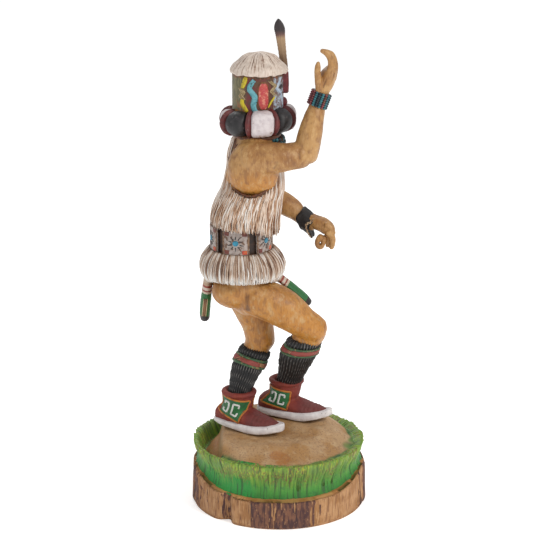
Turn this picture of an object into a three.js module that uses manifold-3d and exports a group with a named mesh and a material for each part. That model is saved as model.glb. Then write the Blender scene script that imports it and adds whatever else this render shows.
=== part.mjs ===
// Carved kachina doll: a dancer in mid step on a mound ringed with turf, on one slice of a log.
// Millimetres, +Z up. The dancer faces -Y with the left hand on the +X side, and the origin is
// the middle of the log slice's underside. Three pieces: the dancer, the base and the feather.

import * as THREE from 'three';
import { mergeVertices } from 'three/addons/utils/BufferGeometryUtils.js';
import Module from 'manifold-3d';

const wasm = await Module();
wasm.setup();

// Driving dimensions of the base.
const SLAB_RADIUS = 63.5;
const SLAB_HEIGHT = 30;
const LEDGE_DROP = 9.5;
const BARK_RELIEF = 2.2;
const BARK_NOTCH = 4.5;
const NOTCH_AT = 4.1;
const SLAB_EDGE = 1.5;
const TURF_RADIUS = 59.5;
const TURF_TOP = 45.5;
const TURF_WALL = 5.5;
const TURF_WAIST = 3;
const TURF_RAGGED = 0.6;
const GROUND_RIM = TURF_TOP - 2;
const LEFT_GROUND = 51.5;
const RIGHT_GROUND = 55.5;
const STEP_TURN = 0.5;
const MOUND_MIDDLE = [-6, 6];
const MOUND_LEVEL = 38;
const TRENCH_DEPTH = 9;
const TRENCH_FORWARD = -41;

// Driving dimensions of the dancer, each a real length on the carving.
const SHOULDER_WIDTH = 62;
const PELVIS_WIDTH = 54;
const WAIST_WIDTH = 46;
const MASK_RADIUS = 17.5;
const MASK_HEIGHT = 33;
const CAP_RADIUS = 19.8;
const CAP_HEIGHT = 11.3;
const CAP_STRANDS = 18;
const RUFF_RADIUS = 18.2;
const RUFF_TUBE = 8.8;
const RUFF_SEGMENTS = 8;
const RUFF_TURN = THREE.MathUtils.degToRad(-12.5);
const SHIRT_STRANDS = 25;
const SHIRT_GROOVE = 1.3;
const FRINGE_STRANDS = 28;
const FRINGE_GROOVE = 1.5;
const BELT_HEIGHT = 18;
const BELT_PANELS = 6;
const NEAR_PANEL = THREE.MathUtils.degToRad(66);
const NEAR_PANEL_AT = THREE.MathUtils.degToRad(-99.6);
const FOOT_LENGTH = 57;
const SOLE_THICK = 6;
const FINGER_RADIUS = 2.1;
const FOOT_GAP = 0.3;

// Driving dimensions of the feather.
const FEATHER_LENGTH = 33;
const FEATHER_WIDTH = 7;
const FEATHER_THICK = 2.4;
const FEATHER_SEAT = 3;
const FEATHER_GAP = 0.3;

// Heights on the dancer, measured from the underside of the slab.
const NECK = [-14.3, 0, 276];
const MASK_ABOVE_NECK = 4;
const CAP_OVER_MASK = 1.4;
const MASK_BOTTOM = NECK[2] + MASK_ABOVE_NECK;
const CAP_RIM = MASK_BOTTOM + MASK_HEIGHT - CAP_OVER_MASK;
const BELT_MIDDLE = [-26, 0, 195.2];

// A place on the dancer given as forward, left and up.
function at([forward, left, up]) {
  return new THREE.Vector3(left, -forward, up);
}

// A body from closed rings of equal length, each ring a list of points, closed by a point at each end.
function stack(rings, first, last) {
  const sides = rings[0].length;
  const points = [first, ...rings.flat(), last];
  const faces = [];
  const index = (ring, side) => 1 + ring * sides + (side % sides);
  for (let side = 0; side < sides; side += 1) {
    faces.push(0, index(0, side + 1), index(0, side));
    faces.push(points.length - 1, index(rings.length - 1, side), index(rings.length - 1, side + 1));
    for (let ring = 0; ring < rings.length - 1; ring += 1) {
      const a = index(ring, side);
      const b = index(ring, side + 1);
      const c = index(ring + 1, side + 1);
      const d = index(ring + 1, side);
      faces.push(a, b, c, a, c, d);
    }
  }
  const geometry = new THREE.BufferGeometry();
  geometry.setAttribute('position', new THREE.Float32BufferAttribute(points.flatMap((p) => p.toArray()), 3));
  geometry.setIndex(faces);
  return geometry;
}

// A solid from a geometry, turned the right way out if its rings ran the other way round.
function solid(geometry) {
  const plain = geometry.clone();
  plain.deleteAttribute('normal');
  plain.deleteAttribute('uv');
  const merged = mergeVertices(plain, 1e-4);
  const vertProperties = new Float32Array(merged.attributes.position.array);
  const triVerts = new Uint32Array(merged.index.array);
  const corner = (i) => new THREE.Vector3().fromArray(vertProperties, triVerts[i] * 3);
  let volume = 0;
  for (let i = 0; i < triVerts.length; i += 3) {
    volume += corner(i).dot(corner(i + 1).cross(corner(i + 2)));
  }
  if (volume < 0) {
    for (let i = 0; i < triVerts.length; i += 3) {
      [triVerts[i], triVerts[i + 1]] = [triVerts[i + 1], triVerts[i]];
    }
  }
  return new wasm.Manifold(new wasm.Mesh({ numProp: 3, vertProperties, triVerts }));
}

function join(solids) {
  return solids.reduce((whole, next) => whole.add(next));
}

function named(name, body, color, roughness) {
  const { vertProperties, triVerts } = body.getMesh();
  const geometry = new THREE.BufferGeometry();
  geometry.setAttribute('position', new THREE.BufferAttribute(new Float32Array(vertProperties), 3));
  geometry.setIndex(new THREE.BufferAttribute(new Uint32Array(triVerts), 1));
  const mesh = new THREE.Mesh(geometry, new THREE.MeshStandardMaterial({ color, roughness, metalness: 0 }));
  mesh.name = name;
  return mesh;
}

// A limb through stations [forward, left, up, thick, wide] with rounded ends.
function limb(stations, sides = 12) {
  const centres = stations.map((station) => at(station));
  const rings = [];
  const tips = [];
  stations.forEach((station, i) => {
    const before = centres[Math.max(i - 1, 0)];
    const after = centres[Math.min(i + 1, centres.length - 1)];
    const along = after.clone().sub(before).normalize();
    const wide = new THREE.Vector3(1, 0, 0).addScaledVector(along, -along.x).normalize();
    const thick = along.clone().cross(wide);
    const ring = (shift, scale) => Array.from({ length: sides }, (_, k) => {
      const angle = (k / sides) * 2 * Math.PI;
      return centres[i].clone().addScaledVector(along, shift)
        .addScaledVector(thick, station[3] * scale * Math.cos(angle))
        .addScaledVector(wide, station[4] * scale * Math.sin(angle));
    });
    const reach = Math.min(station[3], station[4]);
    if (i === 0) {
      tips.push(centres[i].clone().addScaledVector(along, -0.8 * reach));
      rings.push(ring(-0.55 * reach, 0.7));
    }
    rings.push(ring(0, 1));
    if (i === stations.length - 1) {
      rings.push(ring(0.55 * reach, 0.7));
      tips.push(centres[i].clone().addScaledVector(along, 0.8 * reach));
    }
  });
  return solid(stack(rings, tips[0], tips[1]));
}

// A round of cloth or hair through rows [forward, left, up, deep, wide], cut into strands,
// closed at each end by a point in the middle of the row there or at a place of its own.
function fringed(rows, strands, groove, hem = 0, ends = [rows[0], rows[rows.length - 1]]) {
  const sides = strands * 2;
  const rings = rows.map(([forward, left, up, deep, wide], row) => {
    const share = row / (rows.length - 1);
    return Array.from({ length: sides }, (_, k) => {
      const angle = (k / sides) * 2 * Math.PI;
      const cut = k % 2 ? groove * Math.min(1, 0.35 + share) : 0;
      const drop = hem * share * Math.sin(k * 2.4) * (row === rows.length - 1 ? 1 : 0.3);
      return at([
        forward + (deep - cut) * Math.cos(angle),
        left + (wide - cut) * Math.sin(angle),
        up + drop,
      ]);
    });
  });
  return solid(stack(rings, at(ends[0]), at(ends[1])));
}

// An upright or leaning round of elliptical rows [forward, left, up, deep, wide].
function turned(rows, sides) {
  return fringed(rows, sides / 2, 0);
}

function ball([forward, left, up], [deep, wide, high], sides = 10) {
  const rows = [];
  const steps = sides / 2;
  for (let i = 1; i < steps; i += 1) {
    const lift = (i / steps) * Math.PI;
    rows.push([forward, left, up - high * Math.cos(lift), deep * Math.sin(lift), wide * Math.sin(lift)]);
  }
  return fringed(rows, sides / 2, 0, 0, [[forward, left, up - high], [forward, left, up + high]]);
}

// A square block in the dancer's own axes.
function block([forward, left, up], [deep, wide, high]) {
  return solid(new THREE.BoxGeometry(wide, deep, high).translate(left, -forward, up));
}

function torso() {
  const trunk = turned([
    [-21, 0, 137, 12, PELVIS_WIDTH * 0.3],
    [-23, 0, 143, 20, PELVIS_WIDTH * 0.45],
    [-25, 0, 154, 23, PELVIS_WIDTH * 0.5],
    [-25, 0, 168, 21, PELVIS_WIDTH * 0.48],
    [-26, 0, 186, 18, WAIST_WIDTH * 0.46],
    [-25, 0, 202, 18, WAIST_WIDTH * 0.5],
    [-21, 0, 224, 19, SHOULDER_WIDTH * 0.42],
    [-18, 0, 243, 19, SHOULDER_WIDTH * 0.48],
    [-16, 0, 258, 15.5, SHOULDER_WIDTH * 0.48],
    [-15.5, 0, 266, 13.5, SHOULDER_WIDTH * 0.38],
    [-15, 0, 271, 14, SHOULDER_WIDTH * 0.26],
    [...NECK, 14, 14],
  ], 16);
  const seat = [-1, 1].map((side) => ball([-31.4, side * 12, 156], [15.6, 15, 13.5]));
  const blade = ball([-18.5, -SHOULDER_WIDTH * 0.32, 246.5], [19.6, 13, 20], 14);
  const farBlade = ball([-16, SHOULDER_WIDTH * 0.35, 250], [15, 11, 16]);
  return join([trunk, ...seat, blade, farBlade]);
}

function rightArm() {
  const upper = limb([
    [-18, -22, 253, 13, 12],
    [-6, -24, 253.6, 12.4, 11.5],
    [6, -23.5, 253.8, 11.4, 10.6],
    [15, -22, 255, 10, 9.6],
  ], 9);
  const fore = limb([
    [18.6, -21, 256, 8.2, 9],
    [19.8, -20.5, 264, 8.4, 9.2],
    [21.8, -20, 274, 7.8, 8.8],
    [24.3, -19, 284, 6.4, 7.4],
    [26.5, -18, 293, 5.6, 6.8],
  ], 10);
  const palm = limb([
    [28, -18, 299, 4.8, 6.6],
    [30.6, -17.5, 305, 6.2, 8],
    [34.2, -16.8, 311, 4.8, 8.4],
  ], 10);
  const thumb = limb([
    [26.8, -23, 304, 3.4, 3.2],
    [25.6, -24, 311, 2.7, 2.7],
    [25.6, -24, 317, 2.1, 2.1],
  ], 5);
  const fingers = [0, 1, 2, 3].map((finger) => {
    const left = -23 + finger * FINGER_RADIUS * 2;
    const lean = finger * 0.6;
    return limb([
      [36, left, 312 - lean, FINGER_RADIUS * 1.5, FINGER_RADIUS],
      [34.6, left, 324.6 - lean, FINGER_RADIUS * 1.3, FINGER_RADIUS],
      [29, left, 326.6 - lean, FINGER_RADIUS, FINGER_RADIUS * 0.9],
    ], 5);
  });
  const bracelet = turnedAlong([25.6, -18.4, 289], [28.6, -17.9, 298.6], 7.5, 16);
  return join([upper, fore, palm, thumb, ...fingers, bracelet]);
}

// A plain drum between two places.
function turnedAlong(from, to, radius, sides) {
  const start = at(from);
  const end = at(to);
  const drum = new THREE.CylinderGeometry(radius, radius, start.distanceTo(end), sides);
  const along = end.clone().sub(start).normalize();
  drum.applyQuaternion(new THREE.Quaternion().setFromUnitVectors(new THREE.Vector3(0, 1, 0), along));
  return solid(drum.translate(...start.add(end).multiplyScalar(0.5).toArray()));
}

function leftArm() {
  const upper = limb([
    [-17, 23, 252, 12, 10],
    [-15, 28, 238, 10.5, 9.5],
    [-11, 30, 221, 9, 9],
  ], 9);
  const fore = limb([
    [-10, 29.5, 218, 8, 8.6],
    [0, 27, 213.4, 8.2, 8.4],
    [11, 22.5, 208.4, 7.4, 7.6],
    [23, 17, 202, 5.8, 6],
    [30, 13, 197, 5.6, 6.5],
  ], 10);
  const hand = limb([
    [29, 14, 197.5, 6, 7],
    [34, 11, 193.5, 6.4, 7.4],
    [36.5, 10, 190, 4.6, 6.8],
  ], 10);
  const fingers = [0, 1, 2, 3].map((finger) => {
    const left = 4.5 + finger * FINGER_RADIUS * 1.9;
    const lean = finger * 0.7;
    return limb([
      [37.5 - lean, left, 191, FINGER_RADIUS, FINGER_RADIUS],
      [38.6 - lean, left, 186.5, FINGER_RADIUS, FINGER_RADIUS],
      [36 - lean, left, 183, FINGER_RADIUS * 0.85, FINGER_RADIUS * 0.85],
    ], 5);
  });
  const thumb = limb([
    [32, 6.5, 190.5, 3, 3],
    [30, 5, 186.6, 2.5, 2.5],
    [27.6, 5.5, 184.6, 2.2, 2.2],
  ], 8);
  const cuff = turnedAlong([17.4, 19.8, 205.4], [25, 16, 199.8], 8.2, 14);
  return join([upper, fore, hand, ...fingers, thumb, cuff]);
}

function legs() {
  const rightThigh = limb([
    [-18, -13, 151, 17, 15],
    [-5, -14, 147, 16.4, 15],
    [6, -15, 143.6, 14.4, 13.6],
    [17, -14, 138, 12.4, 12],
    [23.6, -12, 132, 9.6, 10.6],
  ], 10);
  const rightShin = limb([
    [22.6, -11, 130, 9.8, 10],
    [18, -7, 119.5, 10.8, 10],
    [13.4, -1, 107, 12.4, 11],
    [9.8, 9.5, 92, 9.4, 9.2],
    [6.8, 16.4, 79, 7.8, 8],
  ], 10);
  const leftThigh = limb([
    [-22, 13, 150, 16, 15],
    [-18, 13.5, 137, 13.8, 13.8],
    [-15, 13.5, 126, 11.6, 12],
    [-13, 13, 114, 10.6, 10.8],
  ], 10);
  const leftShin = limb([
    [-13.8, 13, 114, 9.8, 10.4],
    [-18, 11.6, 104, 9.6, 9.8],
    [-23, 9, 94, 10, 10],
    [-27, 5.6, 82, 7.8, 8],
    [-28, 4.4, 74, 7.8, 8],
  ], 10);
  const garters = [
    turnedAlong([17.2, -5.8, 117.4], [14.8, -2.6, 110.4], 12.2, 14),
    turnedAlong([-18.4, 11.4, 103.8], [-21, 10.2, 97.6], 11, 14),
  ];
  return join([rightThigh, rightShin, leftThigh, leftShin, ...garters]);
}

// A moccasin on its own axes: heel at the origin, toe along +X, then turned and set on the ground.
function moccasin(heel, yaw, ground, ankle) {
  const stretch = FOOT_LENGTH / 54;
  const placeRing = (along, halfWidth, low, high, sides = 10) => Array.from({ length: sides }, (_, k) => {
    const angle = (k / sides) * 2 * Math.PI;
    const across = halfWidth * Math.sin(angle);
    const raise = (low + high) / 2 + ((high - low) / 2) * Math.cos(angle);
    return new THREE.Vector3(along * stretch, across, raise);
  });
  const slab = (along, halfWidth, low, high) => {
    const bevel = Math.min(1, halfWidth * 0.3);
    const wide = halfWidth;
    return [
      [-wide + bevel, low], [wide - bevel, low], [wide, low + bevel], [wide, high - bevel],
      [wide - bevel, high], [-wide + bevel, high], [-wide, high - bevel], [-wide, low + bevel],
    ].map(([across, raise]) => new THREE.Vector3(along * stretch, across, raise));
  };
  const top = SOLE_THICK;
  const soleRings = [
    slab(0.4, 4.5, 0.4, top), slab(3, 8, 0, top), slab(12, 9.4, 0, top), slab(24, 10, 0, top),
    slab(34, 11, 0, top), slab(43, 10, 0.4, top + 0.8), slab(50, 6.6, 2, top + 2.4),
    slab(53, 3.2, 4, top + 3.6),
  ];
  const sole = stack(soleRings, new THREE.Vector3(0, 0, top / 2), new THREE.Vector3(54 * stretch, 0, top + 2));
  const vampRings = [
    placeRing(2, 7, 3, 13), placeRing(10, 9.4, 2, 19), placeRing(24, 9.6, 2, 17),
    placeRing(36, 8.8, 2, 12.6), placeRing(46, 5.6, 3, 10.6),
  ];
  const vamp = stack(vampRings, new THREE.Vector3(0.8, 0, 8), new THREE.Vector3(51 * stretch, 0, 8));
  const shaftRings = [
    [-3.5, 9.6, 8.6, 6], [-1.5, 11.2, 10.4, 20], [0, 11.6, 10.8, 27.5],
  ].map(([along, deep, wide, up]) => Array.from({ length: 12 }, (_, k) => {
    const angle = (k / 12) * 2 * Math.PI;
    return new THREE.Vector3(ankle + along + deep * Math.cos(angle), wide * Math.sin(angle), up);
  }));
  const shaft = stack(shaftRings, new THREE.Vector3(ankle - 3.5, 0, 6), new THREE.Vector3(ankle, 0, 27.5));
  const turn = new THREE.Matrix4().makeRotationZ(yaw - Math.PI / 2);
  const [forward, left] = heel;
  turn.premultiply(new THREE.Matrix4().makeTranslation(left, -forward, ground + FOOT_GAP));
  return join([sole, vamp, shaft].map((geometry) => solid(geometry.applyMatrix4(turn))));
}

function head() {
  const [forward, left] = NECK;
  const mask = turned([
    [forward, left, MASK_BOTTOM - 6, MASK_RADIUS * 0.96, MASK_RADIUS * 0.96],
    [forward, left, MASK_BOTTOM, MASK_RADIUS, MASK_RADIUS],
    [forward, left, MASK_BOTTOM + MASK_HEIGHT, MASK_RADIUS, MASK_RADIUS],
  ], 24);
  const capMiddle = forward + 0.7;
  const cap = fringed([
    [capMiddle + 0.8, left, CAP_RIM + CAP_HEIGHT, CAP_RADIUS * 0.14, CAP_RADIUS * 0.14],
    [capMiddle + 0.7, left, CAP_RIM + CAP_HEIGHT * 0.84, CAP_RADIUS * 0.48, CAP_RADIUS * 0.48],
    [capMiddle + 0.5, left, CAP_RIM + CAP_HEIGHT * 0.44, CAP_RADIUS * 0.76, CAP_RADIUS * 0.76],
    [capMiddle, left, CAP_RIM, CAP_RADIUS, CAP_RADIUS],
    [capMiddle, left, CAP_RIM - 2, CAP_RADIUS * 0.98, CAP_RADIUS * 0.98],
  ], CAP_STRANDS, 0.9, 0.5);
  const noseFront = 7;
  const nose = block([noseFront - 4, left, MASK_BOTTOM + 23], [8, 7, 15]);
  const mouth = turnedAlong([noseFront - 8, left, MASK_BOTTOM + 8.6], [noseFront - 2, left, MASK_BOTTOM + 8.6], 4.2, 10);
  return join([mask, cap, nose, mouth]);
}

// The ruff is a ring of padded lengths, nipped in between each two, and lifted a little in front.
function ruff() {
  const around = RUFF_SEGMENTS * 4;
  const sides = 8;
  const [forward, left] = NECK;
  const middle = [forward - 0.6, left, 277];
  const points = [];
  const faces = [];
  for (let step = 0; step < around; step += 1) {
    const angle = (step / around) * 2 * Math.PI + RUFF_TURN;
    const nip = step % 4 === 0 ? 0.84 : 1;
    for (let side = 0; side < sides; side += 1) {
      const roll = (side / sides) * 2 * Math.PI;
      const radius = RUFF_RADIUS + RUFF_TUBE * nip * Math.cos(roll);
      const reach = radius * Math.cos(angle);
      points.push(at([
        middle[0] + reach,
        middle[1] + radius * Math.sin(angle),
        middle[2] + RUFF_TUBE * nip * Math.sin(roll) + reach * 0.06,
      ]));
      const next = ((step + 1) % around) * sides;
      const here = step * sides;
      const turnSide = (side + 1) % sides;
      faces.push(here + side, here + turnSide, next + turnSide, here + side, next + turnSide, next + side);
    }
  }
  const geometry = new THREE.BufferGeometry();
  geometry.setAttribute('position', new THREE.Float32BufferAttribute(points.flatMap((p) => p.toArray()), 3));
  geometry.setIndex(faces);
  return solid(geometry);
}

// The fringed shirt hangs from the neck, open at each shoulder where the arm comes out.
function shirt() {
  const cloth = fringed([
    [-15.5, 0, 268, 12, 13],
    [-15.5, 0, 262, 17, 22],
    [-16.6, 0, 252, 19.8, 28.5],
    [-18.3, 0, 231, 22.8, 31.5],
    [-22.6, 0, 212, 24.6, 33.4],
    [-23.2, 0, 206, 24, 32.8],
  ], SHIRT_STRANDS, SHIRT_GROOVE, 2.2);
  const rightHole = ball([-18.5, -36, 249], [18.8, 21, 22.5], 14);
  const leftHole = ball([-15, 36, 250], [14, 20, 19], 12);
  return cloth.subtract(rightHole).subtract(leftHole);
}

function waist() {
  const [forward, left, up] = BELT_MIDDLE;
  const half = BELT_HEIGHT / 2;
  const belt = turned([
    [forward, left, up - half, 20.6, 24.6],
    [forward, left, up + half, 20.2, 24.2],
  ], 24);
  const pitch = (2 * Math.PI - NEAR_PANEL) / (BELT_PANELS - 1);
  const slots = Array.from({ length: BELT_PANELS }, (_, k) => {
    const angle = NEAR_PANEL_AT + NEAR_PANEL / 2 + k * pitch;
    const slot = new THREE.BoxGeometry(4, 2.4, BELT_HEIGHT - 3).rotateZ(angle);
    const place = at([forward + 21 * Math.cos(angle), left + 25 * Math.sin(angle), up]);
    return solid(slot.translate(place.x, place.y, place.z));
  });
  const panelled = slots.reduce((whole, slot) => whole.subtract(slot), belt);
  const fringe = fringed([
    [forward, left, up - half + 0.6, 23, 27],
    [forward + 0.4, left, up - half - 4, 27.6, 32],
    [forward + 0.7, left, up - half - 10, 30.2, 35],
    [forward + 0.7, left, up - half - 16.5, 28, 33],
  ], FRINGE_STRANDS, FRINGE_GROOVE, 1.2);
  return join([panelled, fringe]);
}

// A sash end that hangs as a flat strip, from one place to another.
function flap(from, to, wide, thick, lift) {
  const start = at(from);
  const end = at(to);
  const along = end.clone().sub(start);
  const strip = new THREE.BoxGeometry(wide, thick, along.length(), 1, 1, 3);
  strip.applyQuaternion(new THREE.Quaternion().setFromUnitVectors(new THREE.Vector3(0, 0, 1), along.clone().normalize()));
  const middle = start.add(end).multiplyScalar(0.5);
  return solid(strip.translate(middle.x, middle.y, middle.z + lift));
}

function dancer() {
  const rearFlap = flap([-48, 0, 173], [-52, 0, 134], 16, 6.5, 0);
  const frontFlap = flap([-10, 3.1, 170.4], [20.5, 1, 146.2], 13, 5, 0);
  const necklace = new THREE.TorusGeometry(15, 2, 5, 14).rotateX(0.25).translate(0, 12, 265);
  return join([
    torso(), rightArm(), leftArm(), legs(), head(), ruff(), shirt(), waist(), rearFlap, frontFlap,
    solid(necklace),
    moccasin([-14, 26], THREE.MathUtils.degToRad(-24), RIGHT_GROUND, 21.5),
    moccasin([-44, 14.5], THREE.MathUtils.degToRad(-34), LEFT_GROUND, 19),
  ]);
}

const smooth = (value, low, high) => THREE.MathUtils.smoothstep(value, low, high);

// Height of the carved ground: a level for each foot, falling to the turf, with a trench behind.
function ground(forward, left) {
  const [middleForward, middleLeft] = MOUND_MIDDLE;
  const beyond = Math.hypot(forward - middleForward, left - middleLeft);
  const inside = TURF_RADIUS - TURF_WALL;
  const slope = smooth(beyond, MOUND_LEVEL, inside + 8);
  const rim = smooth(Math.hypot(forward, left), inside - 10, inside);
  const across = left * Math.cos(STEP_TURN) + forward * Math.sin(STEP_TURN);
  const level = THREE.MathUtils.lerp(LEFT_GROUND, RIGHT_GROUND, smooth(across, -2, 6));
  const fall = THREE.MathUtils.lerp(level, GROUND_RIM, Math.max(slope, rim));
  const trench = TRENCH_DEPTH * (1 - smooth(forward, TRENCH_FORWARD - 3, TRENCH_FORWARD + 2));
  return fall - trench;
}

// The base is one body of rings, from the middle of the underside out, up and back in to the middle.
function base() {
  const sides = 52;
  const profile = (angle) => {
    const toFront = Math.max(0, Math.cos(angle + Math.PI / 2));
    const ledge = SLAB_HEIGHT - LEDGE_DROP * smooth(toFront, 0.15, 0.85);
    const bark = BARK_RELIEF * Math.sin(2 * angle) ** 2 * (0.5 + 0.5 * Math.sin(17 * angle) * Math.sin(5 * angle));
    const notch = BARK_NOTCH * Math.exp(-(((angle - NOTCH_AT) / 0.07) ** 2));
    const ragged = TURF_RAGGED * Math.sin(13 * angle);
    const rim = TURF_RADIUS + 0.6 * Math.sin(3 * angle);
    const rings = [
      [SLAB_RADIUS - SLAB_EDGE - bark - notch, 0],
      [SLAB_RADIUS - bark * 0.6 - notch, 2],
      [SLAB_RADIUS - bark - notch * 0.8, ledge * 0.5],
      [SLAB_RADIUS - bark * 0.6, ledge - 2],
      [SLAB_RADIUS - SLAB_EDGE - bark, ledge],
      [TURF_RADIUS + 0.8 + ragged * 0.5, ledge + 0.6],
      [TURF_RADIUS - TURF_WAIST + 1.2, ledge + 5 + ragged],
      [TURF_RADIUS - TURF_WAIST, SLAB_HEIGHT + 6],
      [rim, TURF_TOP - 1 + ragged],
      [rim - TURF_WALL * 0.5, TURF_TOP + ragged],
      [rim - TURF_WALL, GROUND_RIM],
    ];
    return rings;
  };
  const rings = profile(0).map((_, row) => Array.from({ length: sides }, (unused, k) => {
    const angle = (k / sides) * 2 * Math.PI;
    const [radius, up] = profile(angle)[row];
    return at([radius * Math.cos(angle), radius * Math.sin(angle), up]);
  }));
  for (const share of [0.93, 0.83, 0.7, 0.5, 0.25]) {
    rings.push(Array.from({ length: sides }, (_, k) => {
      const angle = (k / sides) * 2 * Math.PI;
      const reach = share * (TURF_RADIUS - TURF_WALL);
      const forward = reach * Math.cos(angle);
      const left = reach * Math.sin(angle);
      return at([forward, left, ground(forward, left)]);
    }));
  }
  return solid(stack(rings, at([0, 0, 0]), at([0, 0, ground(0, 0)])));
}

// The feather stands in a seat cut in the cap's edge, a flat quill widening to a rounded dark tip.
function feather(spare = 0) {
  const [forward, left] = [4.4, 9];
  const foot = CAP_RIM - FEATHER_SEAT;
  const reach = FEATHER_LENGTH + FEATHER_SEAT;
  const rows = [
    [0, 0.7], [0.35, 0.78], [0.62, 0.9], [0.74, 0.93], [0.84, 1], [0.91, 0.82], [0.96, 0.46], [0.99, 0.14],
  ];
  const outline = rows.map(([share, wide]) => [
    forward - 4.4 * share, left + share, foot + reach * share,
    FEATHER_WIDTH * wide * 0.5 + spare, FEATHER_THICK * 0.5 * Math.min(1, wide + 0.4) + spare,
  ]);
  const ends = [[forward, left, foot - spare], [forward - 4.4, left + 1, foot + reach + spare]];
  outline[0][2] -= spare;
  return fringed(outline, 6, 0, 0, ends);
}

const doll = new THREE.Group();
doll.add(named('figure', dancer().subtract(feather(FEATHER_GAP)), '#bf9259', 0.6));
doll.add(named('base', base(), '#b58f5c', 0.75));
doll.add(named('feather', feather(), '#9c8266', 0.6));

export default doll;
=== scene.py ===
"""Looks of the carved kachina doll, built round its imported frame, in metres with +Z up.

Places on the doll are given in millimetres as forward, left and up. The dancer faces -Y, the
left hand is on the +X side, and the camera stands off the right shoulder, on the -X side.
"""

import functools
import logging
import random
from dataclasses import dataclass, field
from enum import Enum
from math import atan2, copysign, cos, degrees as to_degrees, dist, exp, hypot, pi, radians, sin
from typing import Callable, Sequence

import bmesh
import bpy
from mathutils import Matrix, Vector, noise

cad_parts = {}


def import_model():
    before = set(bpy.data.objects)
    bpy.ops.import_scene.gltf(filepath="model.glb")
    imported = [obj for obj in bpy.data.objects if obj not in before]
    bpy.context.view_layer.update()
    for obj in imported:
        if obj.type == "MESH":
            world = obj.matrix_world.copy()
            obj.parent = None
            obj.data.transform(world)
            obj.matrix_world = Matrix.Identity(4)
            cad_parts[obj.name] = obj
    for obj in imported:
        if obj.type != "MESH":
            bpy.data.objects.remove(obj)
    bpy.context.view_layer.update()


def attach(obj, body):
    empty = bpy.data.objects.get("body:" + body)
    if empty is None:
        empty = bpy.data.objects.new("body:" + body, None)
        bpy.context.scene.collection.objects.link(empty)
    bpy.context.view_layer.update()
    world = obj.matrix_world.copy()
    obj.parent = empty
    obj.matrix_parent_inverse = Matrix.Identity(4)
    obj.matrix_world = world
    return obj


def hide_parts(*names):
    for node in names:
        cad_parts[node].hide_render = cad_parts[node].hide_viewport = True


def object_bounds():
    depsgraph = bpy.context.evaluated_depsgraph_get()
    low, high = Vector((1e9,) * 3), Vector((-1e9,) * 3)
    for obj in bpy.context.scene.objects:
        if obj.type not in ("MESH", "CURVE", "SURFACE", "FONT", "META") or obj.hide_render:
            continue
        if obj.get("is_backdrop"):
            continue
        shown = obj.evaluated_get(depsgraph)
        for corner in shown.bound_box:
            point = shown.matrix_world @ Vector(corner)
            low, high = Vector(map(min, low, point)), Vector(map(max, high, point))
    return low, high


LOG = logging.getLogger("doll")
MM = 0.001
TURN = 2 * pi
NEAR = -pi / 2
PAINT_LEVEL = 0.75
Row = Sequence[float]
Colour = tuple[float, float, float]


def place(forward: float, left: float, up: float) -> Vector:
    """A point of the doll in metres, from millimetres forward, left and up."""
    return Vector((left * MM, -forward * MM, up * MM))


def smooth(value: float, low: float, high: float) -> float:
    """Runs softly from 0 at low to 1 at high."""
    share = min(max((value - low) / (high - low), 0.0), 1.0)
    return share * share * (3 - 2 * share)


def blend(a: float, b: float, share: float) -> float:
    """The value that lies at a share of the way from a to b."""
    return a + (b - a) * share


def rough(point: Vector, size: float, seed: float = 0.0) -> float:
    """Smooth noise from about -1 to 1, with lumps of a size in millimetres."""
    return noise.noise(point / (size * MM) + Vector((seed, seed * 1.7, -seed)))


def bell(distance: float, width: float) -> float:
    """A bell curve that is 1 in the middle."""
    return exp(-((distance / width) ** 2))


def around(angle: float) -> Vector:
    """The way out from the upright axis at an angle, for noise that runs round a form."""
    return Vector((cos(angle), sin(angle), 0.0))


def round_noise(angle: float, count: float, up: float = 0.0) -> float:
    """Smooth noise round a form, finer for a larger count, at a height."""
    return noise.noise(around(angle) * count + Vector((0, 0, up)))


def framed(centre: Vector, first: Vector, second: Vector, third: Vector) -> Matrix:
    """Turns the unit circle so that its axes are the three given ones, about a centre."""
    return Matrix.Translation(centre) @ Matrix((first, second, third)).transposed().to_4x4()


def spline(rows: Sequence[Row], share: float) -> list[float]:
    """Values at a share of the way along rows, on a curve that passes through each row.

    Args:
        rows: Rows of equal length.
        share: 0 at the first row and 1 at the last.
    Returns:
        One value for each column.
    """
    spot = min(max(share, 0.0), 1.0) * (len(rows) - 1)
    low = min(int(spot), len(rows) - 2)
    t = spot - low
    a, b, c, d = (rows[min(max(low + k, 0), len(rows) - 1)] for k in (-1, 0, 1, 2))
    return [
        0.5 * (2 * q + (r - p) * t + (2 * p - 5 * q + 4 * r - s) * t * t + (3 * q - p - 3 * r + s) * t ** 3)
        for p, q, r, s in zip(a, b, c, d)
    ]


def by_height(rows: Sequence[Row], up: float, column: int = 2) -> list[float]:
    """The rows' values at one height, for rows that run downwards."""
    for k in range(len(rows) - 1):
        if up >= rows[k + 1][column] or k == len(rows) - 2:
            t = (rows[k][column] - up) / (rows[k][column] - rows[k + 1][column])
            return [blend(a, b, t) for a, b in zip(rows[k], rows[k + 1])]
    return list(rows[0])


def colour(red: int, green: int, blue: int) -> tuple[float, float, float, float]:
    """A paint colour from its screen values."""
    def linear(value: int) -> float:
        """One screen value as light."""
        share = value / 255
        return PAINT_LEVEL * (share / 12.92 if share <= 0.04045 else ((share + 0.055) / 1.055) ** 2.4)

    return (linear(red), linear(green), linear(blue), 1.0)


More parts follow.
